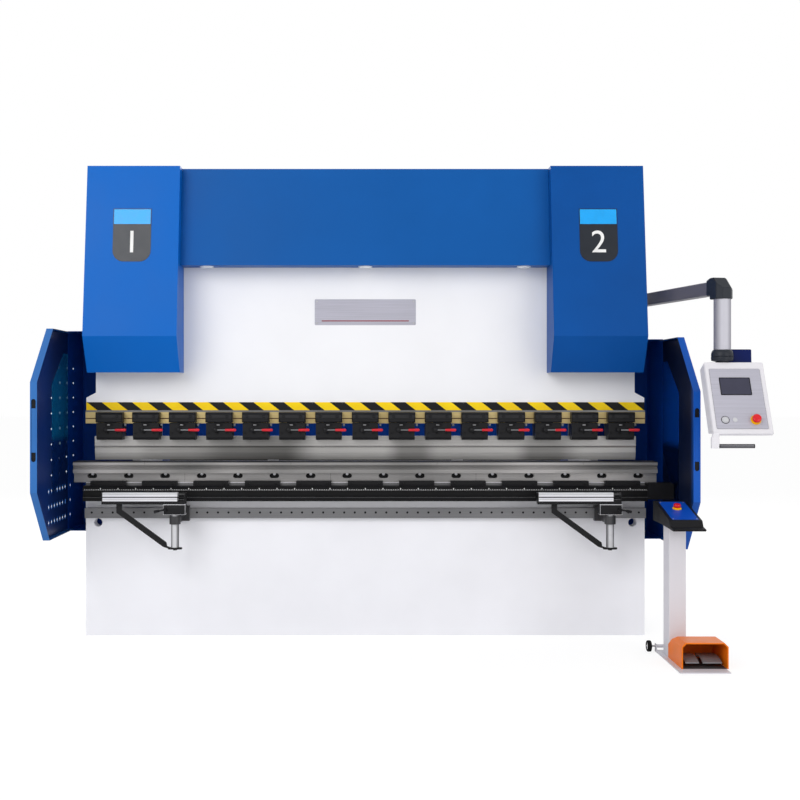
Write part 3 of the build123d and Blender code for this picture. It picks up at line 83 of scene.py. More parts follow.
# %% A blank finish, and nodes by name
def blank_finish(name, metallic=0.0, coat=0.0, sheen=0.5):
    """A new material with one Principled shader; sheen is the strength of its plain reflection."""
    finish = bpy.data.materials.new(name)
    finish.use_nodes = True
    tree = finish.node_tree
    shader = tree.nodes["Principled BSDF"]
    shader.inputs["Metallic"].default_value = metallic
    shader.inputs["Specular IOR Level"].default_value = sheen
    shader.inputs["Coat Weight"].default_value = coat
    return finish, tree, shader


def node(tree, kind, inputs, output, **settings):
    """A new node's output; its inputs are fed plain values or the outputs of other nodes."""
    made = tree.nodes.new(f"ShaderNode{kind}")
    for setting, value in settings.items():
        setattr(made, setting, value)
    for socket, value in inputs.items():
        if isinstance(value, bpy.types.NodeSocket):
            tree.links.new(value, made.inputs[socket])
        else:
            made.inputs[socket].default_value = value
    return made.outputs[output]


def mixed(tree, share, first, second, kind="MIX"):
    """Two colours mixed by a share."""
    inputs = {"Factor": share, "A": first, "B": second}
    return node(tree, "Mix", inputs, "Result", data_type="RGBA", blend_type=kind)


def ranged(tree, value, start, end, low=0.0, high=1.0):
    """A value between start and end, laid on the range from low to high."""
    inputs = {"Value": value, "From Min": start, "From Max": end, "To Min": low, "To Max": high}
    return node(tree, "MapRange", inputs, "Result")


# %% Noise, and what it drives
def noise_at(tree, stretch, scale, detail=3.0):
    """Noise on Object coordinates, stretched along the axes."""
    place = node(tree, "TexCoord", {}, "Object")
    mapped = node(tree, "Mapping", {"Vector": place, "Scale": stretch}, "Vector")
    return node(tree, "TexNoise", {"Vector": mapped, "Scale": scale, "Detail": detail}, "Fac")


def spread(tree, value, low, high):
    """The middle of a noise's range, spread from low to high."""
    return ranged(tree, value, 0.3, 0.7, low, high)


def roughen(tree, shader, value, low, high):
    """Lets noise drive the roughness between two limits."""
    tree.links.new(spread(tree, value, low, high), shader.inputs["Roughness"])


def emboss(tree, shader, value, depth):
    """Lets noise raise the surface by about that many metres."""
    inputs = {"Strength": 1.0, "Distance": depth, "Height": value}
    tree.links.new(node(tree, "Bump", inputs, "Normal"), shader.inputs["Normal"])


def shade(colour, factor):
    """A screen colour as light, made lighter or darker."""
    return (*[min(channel * factor, 1.0) for channel in linear(*colour)[:3]], 1.0)


def clouded(name, colour, scale, darker, lighter, gloss, **reflection):
    """A finish whose tint and gloss change a little from place to place."""
    finish, tree, shader = blank_finish(name, **reflection)
    cloud = noise_at(tree, (1, 1, 1), scale)
    tint = mixed(tree, spread(tree, cloud, 0, 1), shade(colour, darker), shade(colour, lighter))
    tree.links.new(tint, shader.inputs["Base Color"])
    roughen(tree, shader, cloud, *gloss)
    return finish, tree, shader


# %% Powder coat and moulded plastic
def powder_coat(
    name, colour, peel=0.00012, grain=140.0, gloss=(0.34, 0.46), clouds=0.05, sheen=0.2
):
    """Baked powder paint with orange peel."""
    finish, tree, shader = clouded(name, colour, 2.2, 1 - clouds, 1 + clouds, gloss, sheen=sheen)
    emboss(tree, shader, noise_at(tree, (1, 1, 1), grain, 2.0), peel)
    return finish


def moulded(name, colour, gloss=(0.38, 0.52)):
    """Moulded plastic or rubber with a fine spark-eroded texture."""
    finish, tree, shader = clouded(name, colour, 9.0, 0.93, 1.07, gloss, sheen=0.15)
    emboss(tree, shader, noise_at(tree, (1, 1, 1), 420.0), 0.00006)
    return finish


def polished(name, colour, gloss=(0.14, 0.24)):
    """Chrome and polished steel."""
    return clouded(name, colour, 14.0, 0.95, 1.04, gloss, metallic=0.9)[0]


def glossy(name, colour, gloss=(0.16, 0.26), alpha=1.0):
    """Smooth lacquer, lens or tinted pane."""
    finish, _, shader = clouded(name, colour, 20.0, 0.96, 1.04, gloss, coat=0.15, sheen=0.25)
    shader.inputs["Alpha"].default_value = alpha
    return finish


# %% [markdown]
# Ground and brushed steel has fine scratches in one direction. The same noise does it when it is
# stretched: a short step across the scratches, a long one along them. A second, very broad noise
# along the length paints reflections: the light and dark bands that the room lays on long bright
# tools. Two long tools get their painted reflection bands from a ramp instead, with soft zones
# like those that the room throws on ground steel.


# %% Bare metal
def brushed(
    name, light, dark, along=(3, 420, 420), reflection_bands=1.1, metallic=0.55, sheen=0.4, reflection_zones=None
):
    """Ground metal: scratches along one axis and broad painted reflection bands along X."""
    finish, tree, shader = blank_finish(name, metallic=metallic, sheen=sheen)
    scratch = noise_at(tree, along, 1.0, 4.0)
    if reflection_zones:
        share = reflection_zones(tree)
    else:
        share = spread(tree, noise_at(tree, (reflection_bands, 0.05, 0.05), 1.0, 1.0), 0, 1)
    # Painted reflection: the broad bands mix the dark and light colours along X.
    painted_reflection = mixed(tree, share, linear(*dark), linear(*light))
    level = spread(tree, scratch, 0.86, 1.06)
    grey = node(tree, "CombineColor", {"Red": level, "Green": level, "Blue": level}, "Color")
    tree.links.new(mixed(tree, 1.0, painted_reflection, grey, "MULTIPLY"), shader.inputs["Base Color"])
    roughen(tree, shader, scratch, 0.3, 0.42)
    emboss(tree, shader, scratch, 0.00003)
    return finish


def part_of(tree, output, axis):
    """One part of an object coordinate or of an object normal."""
    place = node(tree, "TexCoord", {}, output)
    return node(tree, "SeparateXYZ", {"Vector": place}, axis)


# %% Painted reflection zones on ground tool steel
painted_reflection_stops = (
    (0.02, 1.0), (0.07, 0.9), (0.11, 0.6), (0.17, 0.5), (0.25, 0.1),
    (0.35, 0.0), (0.42, 0.9), (0.53, 1.0), (0.57, 0.3), (0.60, 0.3),
    (0.64, 0.9), (0.77, 1.0), (0.81, 0.3), (0.85, 0.3), (0.91, 1.0),
)
punch_low, punch_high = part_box("punch")


def painted_reflection_zones(tree):
    """Painted reflection zones along the tool: the stops give a place along it and a lightness."""
    share = ranged(tree, part_of(tree, "Object", "X"), punch_low.x, punch_high.x)
    lightness = node(tree, "ValToRGB", {"Fac": share}, "Color")
    ramp = lightness.node.color_ramp
    ramp.interpolation = "EASE"
    ends = zip(ramp.elements, (painted_reflection_stops[0], painted_reflection_stops[-1]))
    for element, (stop, level) in ends:
        element.position = stop
        element.color = (level, level, level, 1)
    for stop, level in painted_reflection_stops[1:-1]:
        ramp.elements.new(stop).color = (level, level, level, 1)
    return lightness


# %% [markdown]
# The guards are bright outside and much darker inside, where little light reaches the paint; the
# darkness is painted shade. The face's own direction tells the two apart, so one finish serves
# both sides of the sheet. Deeper in, towards the side frame, the painted shade gets darker still.
# The same mixing lets a finish fade between two heights, and paints shade on the two sides of a
# round post.


# %% Guard paint with painted shade inside, and fading finishes
def blend(finish, share, colour):
    """Mixes another colour over a ready finish."""
    tree = finish.node_tree
    base = tree.nodes["Principled BSDF"].inputs["Base Color"]
    tree.links.new(mixed(tree, share, base.links[0].from_socket, colour), base)
    return finish


def fading(finish, colour, start, end):
    """The finish turns to another colour between two heights."""
    tree = finish.node_tree
    height = ranged(tree, part_of(tree, "Object", "Z"), start, end)
    return blend(finish, height, linear(*colour))


def painted_side_shade(finish, colour):
    """Painted shade: the finish darkens towards both sides of an upright cylinder."""
    tree = finish.node_tree
    sideways = node(tree, "Math", {0: part_of(tree, "Normal", "X")}, "Value", operation="ABSOLUTE")
    return blend(finish, ranged(tree, sideways, 0.35, 0.95), linear(*colour))


def guard_coat_with_painted_shade(name, outside, inside, deep_shade, inward, deep_from, deep_to):
    """Powder coat with painted shade: darker colours on the faces that point inwards along X."""
    finish = powder_coat(name, outside)
    tree = finish.node_tree
    depth = ranged(tree, part_of(tree, "Object", "Y"), deep_from, deep_to)
    inner = mixed(tree, depth, linear(*inside), linear(*deep_shade))
    turned_in = ranged(tree, part_of(tree, "Normal", "X"), 0.4 * inward, 0.6 * inward)
    return blend(finish, turned_in, inner)


# %% [markdown]
# ## The finishes of this machine
# Colours are given as a screen shows them. The painted sheets come first, then plastic and
# rubber, bare metals, and lacquers, lenses and panes. Where a finish fades, the last two
# numbers are the heights, in metres, between which it does.

# %% Painted sheets and castings
white_coat = powder_coat("white_coat", (240, 240, 243), clouds=0.02)
bed_coat = powder_coat("bed_coat", (238, 238, 243), clouds=0.03)
stand_coat = powder_coat("stand_coat", (216, 214, 220), clouds=0.02)
# The two hoods share one blue: the lighter left copy is painted light, the darker right copy
# painted shade.
hood_blue_painted_light = powder_coat("hood_blue_painted_light", (0, 97, 187), clouds=0.03, sheen=0.12)
cover_blue = powder_coat("cover_blue", (8, 84, 158), clouds=0.05, sheen=0.12)
hood_blue_painted_shade = powder_coat(
    "hood_blue_painted_shade", (2, 75, 150), peel=0.0005, grain=75.0, clouds=0.08, sheen=0.12
)
# Both guards: the darker inside and deep colours are painted shade.
guard_left_blue = guard_coat_with_painted_shade(
    "guard_left_blue", (48, 108, 178), (8, 42, 104), (8, 34, 84),
    inward=1, deep_from=-0.30, deep_to=-0.12
)
guard_right_blue = guard_coat_with_painted_shade(
    "guard_right_blue", (10, 84, 180), (10, 88, 186), (2, 14, 42),
    inward=-1, deep_from=-0.52, deep_to=-0.42
)
box_blue = powder_coat("box_blue", (4, 62, 150), sheen=0.12)
navy_coat = powder_coat("navy_coat", (2, 22, 84), sheen=0.1)
dark_casting = powder_coat("dark_casting", (36, 40, 48), peel=0.0003, grain=260.0)
tube_grey = powder_coat("tube_grey", (100, 98, 108), grain=240.0)
post_grey = powder_coat("post_grey", (194, 193, 202), grain=300.0, sheen=0.4)
pendant_white = powder_coat("pendant_white", (224, 222, 227), grain=300.0, clouds=0.02)
plate_blue = powder_coat("plate_blue", (4, 74, 180), grain=260.0)
motor_grey = powder_coat("motor_grey", (104, 112, 118))

# %% Plastic and rubber
black_steel = moulded("black_steel", (27, 27, 29), gloss=(0.34, 0.5))
satin_black = moulded("satin_black", (40, 40, 42))
black_plastic = moulded("black_plastic", (20, 20, 23))
black_rubber = moulded("black_rubber", (16, 16, 18), gloss=(0.6, 0.75))
stop_yellow = moulded("stop_yellow", (243, 178, 12))
stripe_yellow = moulded("stripe_yellow", (255, 214, 24))
stripe_black = moulded("stripe_black", (26, 26, 26))
hood_orange = moulded("hood_orange", (240, 120, 18), gloss=(0.3, 0.4))
mark_white = moulded("mark_white", (232, 232, 232))
rule_red = moulded("rule_red", (140, 30, 40))
groove_brown = moulded("groove_brown", (74, 38, 30))
mat_grey = moulded("mat_grey", (70, 68, 70))

# %% Bare metals
panel_grey = brushed("panel_grey", (184, 182, 194), (176, 175, 187), metallic=0.15)
tool_steel = brushed("tool_steel", (172, 170, 168), (92, 91, 89), reflection_zones=painted_reflection_zones)
upper_steel = brushed("upper_steel", (182, 180, 178), (124, 123, 121), reflection_zones=painted_reflection_zones)
die_steel = brushed("die_steel", (176, 173, 172), (104, 104, 103), reflection_bands=1.6)
holder_steel = brushed("holder_steel", (176, 173, 172), (116, 115, 115), reflection_bands=1.2)
bare_edge = brushed("bare_edge", (132, 132, 134), (108, 108, 110))
rail_steel = brushed("rail_steel", (132, 132, 134), (104, 104, 106))
bar_gold = brushed("bar_gold", (212, 190, 132), (178, 156, 102), reflection_bands=2.4, metallic=0.4)
anodised_black = brushed("anodised_black", (14, 14, 16), (9, 9, 11), metallic=0.0, sheen=0.15)
anodised_silver = brushed("anodised_silver", (236, 236, 240), (214, 214, 220), metallic=0.3)
carriage_grey = brushed("carriage_grey", (74, 74, 76), (50, 50, 52), along=(300, 300, 3))
chrome = polished("chrome", (214, 214, 220))
handle_steel = polished("handle_steel", (96, 96, 100), gloss=(0.1, 0.16))
zinc = polished("zinc", (188, 188, 192), gloss=(0.28, 0.4))
tread_grey = brushed("tread_grey", (140, 138, 142), (112, 110, 114), metallic=0.2)

# %% Lacquers, lenses and panes
pane_teal = glossy("pane_teal", (10, 100, 150), alpha=0.78)
pane_diamond = glossy("pane_diamond", (150, 184, 206))
pane_blue = glossy("pane_blue", (4, 62, 150), alpha=0.8)
screen_glass = glossy("screen_glass", (56, 56, 74), gloss=(0.08, 0.14))
post_steel = glossy("post_steel", (206, 206, 210), gloss=(0.2, 0.3))
lamp_lens = glossy("lamp_lens", (242, 244, 246))
grip_red = glossy("grip_red", (205, 28, 44), gloss=(0.3, 0.42))
stop_red = glossy("stop_red", (214, 24, 34))
badge_dark = glossy("badge_dark", (24, 30, 40))
badge_cyan = glossy("badge_cyan", (18, 162, 238))
button_grey = glossy("button_grey", (196, 196, 200))

# %% Finishes that fade
# Painted shadow: the die darkens towards its top, in the gap under the punch.
fading(die_steel, (38, 38, 40), 0.9930, 0.9955)
fading(pane_teal, (8, 40, 96), 1.15, 1.11)
fading(pane_blue, (2, 14, 42), 1.12, 1.07)
# Painted shade down both sides of the round posts.
painted_side_shade(post_steel, (58, 58, 62))
painted_side_shade(post_grey, (128, 127, 138))
print("finishes:", len(bpy.data.materials))

# %% [markdown]
# ## Painting the solids
# A solid whose shape is right only needs a finish. Its mesh and place are never touched: the
# material goes into the slot that it already has.

# %% Paint
def paint(finish, *names):
    """Gives ready solids their finish."""
    for name in names:
        for place in solids[name].material_slots:
            place.material = finish


paint(white_coat, "side_frame_left", "side_frame_right", "ram_plate", "oil_tank")
paint(bed_coat, "bed_plate")
paint(stand_coat, "stand_base")
paint(hood_blue_painted_light, "hood_left")
paint(hood_blue_painted_shade, "hood_right")
paint(cover_blue, "top_cover")
paint(guard_left_blue, "guard_left")
paint(guard_right_blue, "guard_right")
paint(box_blue, "guard_boxes")
paint(pane_teal, "guard_window_left")
paint(pane_blue, "guard_window_right")
paint(lamp_lens, "cover_lamps")
paint(motor_grey, "pump_motor")
paint(black_steel, "cylinders", "die_clamps", "clamp_bodies")
paint(chrome, "piston_rods")
paint(anodised_black, "front_rail")
paint(black_plastic, "rail_end_box")
paint(rail_steel, "guide_rail")
paint(holder_steel, "die_holder")
paint(die_steel, "lower_die")
paint(tool_steel, "punch")
paint(bar_gold, "tool_bar")
paint(anodised_silver, "support_arm_left", "support_arm_right", "gauge_modules", "gauge_beam")
paint(carriage_grey, "arm_carriage_left", "arm_carriage_right")
paint(zinc, "gauge_finger_left", "gauge_finger_right")
paint(hood_orange, "pedal_hood")
paint(tread_grey, "pedal_left", "pedal_right")

# %% [markdown]
# ## Making pieces
# Small pieces are drawn with bmesh. Each starts as an empty mesh, gets blocks, rods, turned
# shapes and plates, and then becomes one object that rides on a body. Faces that meet at a
# shallow angle are shaded smooth, so a rod of a few dozen sides looks round.


# %% Frames to draw in
def facing(point, direction, up=(0, 0, 1)):
    """A frame at a point whose z axis runs along the direction, and whose y axis is near up."""
    z_axis = Vector(direction).normalized()
    helper = Vector(up)
    if abs(z_axis.dot(helper)) > 0.99:
        helper = Vector((0, 1, 0))
    x_axis = helper.cross(z_axis).normalized()
    y_axis = z_axis.cross(x_axis)
    turn = Matrix((x_axis, y_axis, z_axis)).transposed().to_4x4()
    return Matrix.Translation(point) @ turn


def to_operator(x, y, z):
    """A frame whose z axis runs to the operator: its x is to the right and its y up."""
    return facing((x, y, z), (0, -1, 0))


def to_right(x, y, z):
    """A frame whose z axis runs to the right: its x is to the rear and its y up."""
    return facing((x, y, z), (1, 0, 0))


def moved(place, *shift):
    """The same frame, moved along its own axes."""
    return place @ Matrix.Translation(shift)


# %% Blocks and broken edges
def coloured(faces, finish):
    """Gives faces one of the piece's finishes, by its number."""
    for face in faces:
        face.material_index = finish
    return faces


def break_edges(mesh, offset, edges=None, segments=2, **more):
    """Bevels some edges of a mesh, or all of them."""
    chosen = mesh.edges[:] if edges is None else edges
    return bmesh.ops.bevel(
        mesh, geom=chosen, offset=offset, segments=segments, affect="EDGES", **more
    )


def block(mesh, low, high, edge=0.0, finish=0):
    """A block between two corners, with its edges broken."""
    size = [top - bottom for bottom, top in zip(low, high)]
    middle = [(top + bottom) / 2 for bottom, top in zip(low, high)]
    place = Matrix.Translation(middle) @ Matrix.Diagonal((*size, 1))
    made = bmesh.ops.create_cube(mesh, size=1.0, matrix=place)
    faces = {face for corner in made["verts"] for face in corner.link_faces}
    if edge:
        edges = list({line for corner in made["verts"] for line in corner.link_edges})
        cut = break_edges(mesh, edge, edges, profile=0.6)
        faces = {face for face in faces if face.is_valid} | set(cut["faces"])
    return coloured(faces, finish)


def front_strip(mesh, box, z_low, z_high, thickness, sunk=0.0, finish=0):
    """A thin strip along the whole front of a long part, between two heights."""
    low, high = box
    start = (low.x, low.y - thickness, z_low)
    return block(mesh, start, (high.x, low.y + sunk, z_high), finish=finish)


# %% Turned shapes, rods and plates
def ring(mesh, place, outline, level):
    """The points of an outline in the frame's xy plane, raised to a level."""
    return [mesh.verts.new(place @ Vector((x, y, level))) for x, y in outline]


def walls(mesh, lower, upper):
    """Faces between two rings of as many points."""
    corners = zip(lower, lower[1:] + lower[:1], upper[1:] + upper[:1], upper)
    return [mesh.faces.new(four) for four in corners]


def turned(mesh, place, profile, sides=40, finish=0):
    """A turned shape: (height, radius) steps along the frame's z axis, closed at both ends."""
    angles = [2 * pi * number / sides for number in range(sides)]
    circle = [(cos(angle), sin(angle)) for angle in angles]
    rings = [
        ring(mesh, place, [(radius * x, radius * y) for x, y in circle], height)
        for height, radius in profile
    ]
    faces = [mesh.faces.new(rings[0][::-1]), mesh.faces.new(rings[-1])]
    for lower, upper in zip(rings, rings[1:]):
        faces += walls(mesh, lower, upper)
    return coloured(faces, finish)


def rod(mesh, start, end, radius, sides=32, edge=0.001, finish=0):
    """A round rod between two points, with its ends chamfered."""
    along = Vector(end) - Vector(start)
    length = along.length
    profile = [(0, radius - edge), (edge, radius), (length - edge, radius), (length, radius - edge)]
    return turned(mesh, facing(start, along), profile, sides, finish)


def plate(mesh, place, outline, thickness, finish=0):
    """A plate: an outline in the frame's xy plane, anticlockwise, raised along z."""
    lower = ring(mesh, place, outline, 0)
    upper = ring(mesh, place, outline, thickness)
    faces = [mesh.faces.new(lower[::-1]), mesh.faces.new(upper), *walls(mesh, lower, upper)]
    return coloured(faces, finish)


def flat_frame(mesh, place, outer, inner, height, finish=0):
    """A flat frame between two outlines with the same number of points."""
    steps = ((outer, 0), (outer, height), (inner, height), (inner, 0))
    rings = [ring(mesh, place, outline, level) for outline, level in steps]
    for first, second in zip(rings, rings[1:] + rings[:1]):
        coloured(walls(mesh, first, second), finish)


def rounded(width, height, radius, steps=6):
    """The outline of a rectangle with round corners, centred, anticlockwise."""
    points = []
    for quarter, (side, level) in enumerate(((1, 1), (-1, 1), (-1, -1), (1, -1))):
        for number in range(steps + 1):
            angle = pi / 2 * (quarter + number / steps)
            x = side * (width / 2 - radius) + radius * cos(angle)
            y = level * (height / 2 - radius) + radius * sin(angle)
            points.append((x, y))
    return points


def drawn(shape, *values, **more):
    """A new mesh with one shape drawn in it."""
    mesh = bmesh.new()
    shape(mesh, *values, **more)
    return mesh


# %% From mesh to piece
SMOOTH_BELOW = radians(32)


def linked(name, data):
    """A new object at the origin, in the scene."""
    made = bpy.data.objects.new(name, data)
    scene.collection.objects.link(made)
    return made


def finished(name, mesh, finishes):
    """The drawn mesh as an object at the origin, with its finishes and smooth round parts."""
    data = bpy.data.meshes.new(name)
    bmesh.ops.recalc_face_normals(mesh, faces=mesh.faces)
    mesh.to_mesh(data)
    mesh.free()
    for finish in finishes:
        data.materials.append(finish)
    data.polygons.foreach_set("use_smooth", [True] * len(data.polygons))
    data.set_sharp_from_angle(angle=SMOOTH_BELOW)
    return linked(name, data)


def carried(piece, body):
    """Lets a piece ride on a body and prints its face count."""
    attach(piece, body)
    print(piece.name, "faces:", len(piece.data.polygons))
    return piece


def fit(name, mesh, finishes, body, slot, stands_for=()):
    """Finishes a piece, hands it to its body and hides the solids that it stands for."""
    made = carried(finished(name, mesh, finishes), body)
    if stands_for:
        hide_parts(*stands_for)
    return made


# %% [markdown]
# ## Rows by Geometry Nodes
# Screws, ruler marks and rail holes repeat at an even step. Copying them by hand would work, but
# a node tree keeps the count and the step as plain inputs: a line of points, one unit on each,
# made real and given its finish. The result is turned into an ordinary mesh at once.

# %% The row tree
def make_row_tree():
    """A node tree that sets one unit on every point of a straight line."""
    tree = bpy.data.node_groups.new("row_of_units", "GeometryNodeTree")
    tree.interface.new_socket("Row", in_out="OUTPUT", socket_type="NodeSocketGeometry")
    sockets = {}
    for title, kind in (
        ("Unit", "NodeSocketObject"),
        ("Count", "NodeSocketInt"),
        ("Start", "NodeSocketVector"),
        ("Step", "NodeSocketVector"),
        ("Finish", "NodeSocketMaterial"),
    ):
        made = tree.interface.new_socket(title, in_out="INPUT", socket_type=kind)
        sockets[title] = made.identifier
    given = tree.nodes.new("NodeGroupInput")
    result = tree.nodes.new("NodeGroupOutput")
    line = tree.nodes.new("GeometryNodeMeshLine")
    line.mode = "OFFSET"
    unit = tree.nodes.new("GeometryNodeObjectInfo")
    copies = tree.nodes.new("GeometryNodeInstanceOnPoints")
    real = tree.nodes.new("GeometryNodeRealizeInstances")
    finish = tree.nodes.new("GeometryNodeSetMaterial")
    for source, target in (
        (given.outputs["Count"], line.inputs["Count"]),
        (given.outputs["Start"], line.inputs["Start Location"]),
        (given.outputs["Step"], line.inputs["Offset"]),
        (given.outputs["Unit"], unit.inputs["Object"]),
        (line.outputs["Mesh"], copies.inputs["Points"]),
        (unit.outputs["Geometry"], copies.inputs["Instance"]),
        (copies.outputs["Instances"], real.inputs["Geometry"]),
        (real.outputs["Geometry"], finish.inputs["Geometry"]),
        (given.outputs["Finish"], finish.inputs["Material"]),
        (finish.outputs["Geometry"], result.inputs["Row"]),
    ):
        tree.links.new(source, target)
    return tree, sockets


# %% A row of copies
row_tree, row_sockets = make_row_tree()


def evaluated_mesh(holder):
    """The mesh that an object's curve or modifiers make."""
    graph = bpy.context.evaluated_depsgraph_get()
    return bpy.data.meshes.new_from_object(holder.evaluated_get(graph))


def row(name, mesh, start, step_length, count, finish, body, slot, way=(1, 0, 0)):
    """A row of copies of a small drawn unit, as one plain piece on a body."""
    unit = finished(name + "_unit", mesh, [finish])
    holder = linked(name, bpy.data.meshes.new(name + "_points"))
    modifier = holder.modifiers.new("row", "NODES")
    modifier.node_group = row_tree
    offset = tuple(step_length * part for part in way)
    values = {"Unit": unit, "Count": count, "Start": start, "Step": offset, "Finish": finish}
    for title, value in values.items():
        modifier[row_sockets[title]] = value
    plain = evaluated_mesh(holder)
    holder.modifiers.clear()
    holder.data = plain
    bpy.data.objects.remove(unit)
    print(name, "copies:", count)
    return carried(holder, body)


# %% [markdown]
# ## Screws
# A socket-head screw is a short turned head with a rounded rim and a hexagon socket. Seen from
# where the whole machine is in view, only the ring and the dark middle show, so the socket is a
# sunk cone in the same turned profile. Each unit is drawn facing the operator.


# %% Screw heads that face the operator
def screw_head(radius, height):
    """A socket head that stands on the XZ plane and faces -Y."""
    edge = radius * 0.15
    profile = [
        (0, radius),
        (height - edge, radius),
        (height, radius - edge),
        (height, radius * 0.55),
        (height * 0.35, radius * 0.5),
    ]
    return drawn(turned, to_operator(0, 0, 0), profile, 20)


# %% [markdown]
# ## The ram's safety stripes
# The lower edge of the ram carries a band of slanted black and yellow stripes. A texture would
# blur at the edges, so the band is a thin yellow strip with black slanted patches on it, each
# one cut off at the ends of the ram.

# %% Stripes
ram_low, ram_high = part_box("ram_plate")
band_height = 0.046
band_thickness = 0.0006
stripe_step = 0.1742
stripe_width = 0.0845
stripe_slant = 0.0595
first_stripe = -1.597
band_ends = (ram_low.z, ram_low.z + band_height)
band = drawn(front_strip, (ram_low, ram_high), *band_ends, band_thickness)
fit("stripe_band", band, [stripe_yellow], "ram", "frame_white")


def cut_to(points, limit, side):
    """A flat outline cut off at x = limit; side is 1 to keep what is above it, -1 below."""
    kept = []
    for (x0, y0), (x1, y1) in zip(points, points[1:] + points[:1]):
        inside = side * (x0 - limit) >= 0
        if inside:
            kept.append((x0, y0))
        if inside != (side * (x1 - limit) >= 0):
            share = (limit - x0) / (x1 - x0)
            kept.append((limit, y0 + share * (y1 - y0)))
    return kept


patches = bmesh.new()
patch_place = to_operator(0, ram_low.y - band_thickness, ram_low.z)
stripe_count = floor(2 * ram_high.x / stripe_step) + 2
for number in range(-1, stripe_count):
    left = first_stripe + number * stripe_step
    slanted = [
        (left + stripe_slant, 0),
        (left + stripe_slant + stripe_width, 0),
        (left + stripe_width, band_height),
        (left, band_height),
    ]
    outline = cut_to(cut_to(slanted, ram_low.x, 1), ram_high.x, -1)
    if len(outline) > 2:
        plate(patches, patch_place, outline, band_thickness)
fit("stripe_patches", patches, [stripe_black], "ram", "frame_white")

# %% [markdown]
# ## The plate on the ram
# A thin bare plate sits in the middle of the ram, held by four rivets, with one fine red rule
# near its foot. The rest of its face stays empty.

# %% Bare plate
sign_thickness = 0.0015
sign_front = ram_low.y - sign_thickness
sign_z = ram_low.z + 0.562
sign_outline = rounded(0.58, 0.148, 0.006)
sign = drawn(plate, to_operator(0, ram_low.y, sign_z), sign_outline, sign_thickness)
fit("ram_plate_blank", sign, [panel_grey], "ram", "frame_white")

rule_z = sign_z - 0.050
rule_low = (-0.250, sign_front - 0.0004, rule_z - 0.0028)
rule_high = (0.250, sign_front, rule_z + 0.0028)
fit("ram_plate_rule", drawn(block, rule_low, rule_high), [rule_red], "ram", "frame_white")

rivet_x = 0.277
for title, level in (("upper", 0.062), ("lower", -0.062)):
    rivet = screw_head(0.006, 0.003)
    rivet_start = (-rivet_x, sign_front, sign_z + level)
    rivets = f"ram_plate_rivets_{title}"
    row(rivets, rivet, rivet_start, 2 * rivet_x, 2, zinc, "ram", "frame_white")

# %% [markdown]
# ## Quick clamps
# Fifteen black clamps hold the punch. Each has two screws in its upper block, three small ones
# in its pressure plate and one bright screw in its oval window. All of them sit at the clamp
# pitch, which the first two levers give.

# %% Tool bar edges
bar_low, bar_high = bar_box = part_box("tool_bar")
groove_z = bar_high.z - 0.047
bar_edges = drawn(front_strip, bar_box, bar_high.z - 0.010, bar_high.z, 0.0006)
front_strip(bar_edges, bar_box, groove_z - 0.0025, groove_z + 0.0025, 0.0004, finish=1)
fit("tool_bar_edges", bar_edges, [rail_steel, groove_brown], "ram", "tool_bar_brass")

# %% Clamp screws
lever_low, lever_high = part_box("clamp_lever_01")
clamp_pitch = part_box("clamp_lever_02")[0].x - lever_low.x
clamp_count = 15
first_clamp = -clamp_pitch * (clamp_count - 1) / 2
block_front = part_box("clamp_bodies")[0].y
plate_front = lever_high.y + 0.0003
lever_z = (lever_low.z + lever_high.z) / 2
block_screw_z = bar_high.z - 0.034
plate_screw_z = lever_z - 0.018


def clamp_row(name, mesh, offset, front, finish, height=0.0):
    """The same unit on every clamp, at an offset from the clamp's middle."""
    start = (first_clamp + offset, front, height)
    return row(name, mesh, start, clamp_pitch, clamp_count, finish, "ram", "clamp_black")


for title, offset, height, front, radius in (
    ("upper_left", -0.048, block_screw_z, block_front, 0.0085),
    ("upper_right", 0.048, block_screw_z, block_front, 0.0085),
    ("plate_left", -0.058, plate_screw_z, plate_front, 0.0055),
    ("plate_middle", -0.007, plate_screw_z, plate_front, 0.0055),
    ("plate_right", 0.045, plate_screw_z, plate_front, 0.0055),
):
    head = screw_head(radius, radius * 0.6)
    clamp_row(f"clamp_screws_{title}", head, offset, front, black_plastic, height)

# %% Clamp windows, bars and hooks
clamp_half = 0.0765
strip_half = clamp_half - 0.003
strip_z = bar_high.z - 0.036
strip_low = (-strip_half, -0.003, strip_z - 0.010)
bar_strip = drawn(block, strip_low, (strip_half, 0.001, strip_z + 0.010), 0.0028)
clamp_row("clamp_bars", bar_strip, 0, block_front, satin_black)
window_z = lever_z + 0.028
window = drawn(plate, to_operator(0, 0, window_z), rounded(0.045, 0.0175, 0.0087), 0.0006)
clamp_row("clamp_windows", window, 0, plate_front + 0.0004, black_rubber)
nut = drawn(block, (-0.009, -0.0022, window_z - 0.0038), (0.009, 0, window_z + 0.0038), 0.0012)
clamp_row("clamp_nuts", nut, -0.004, plate_front, rail_steel)
hook = drawn(block, (0.001, -0.014, bar_low.z - 0.015), (0.013, 0, bar_low.z - 0.001), 0.002)
clamp_row("clamp_hooks", hook, clamp_half + 0.002, block_front + 0.052, rail_steel)

# %% [markdown]
# Each clamp lever is a dark hub and steel shaft with a dipped red grip. It turns by itself, so
# each one is its own piece on its own body. The grip swells a little towards its rounded end.


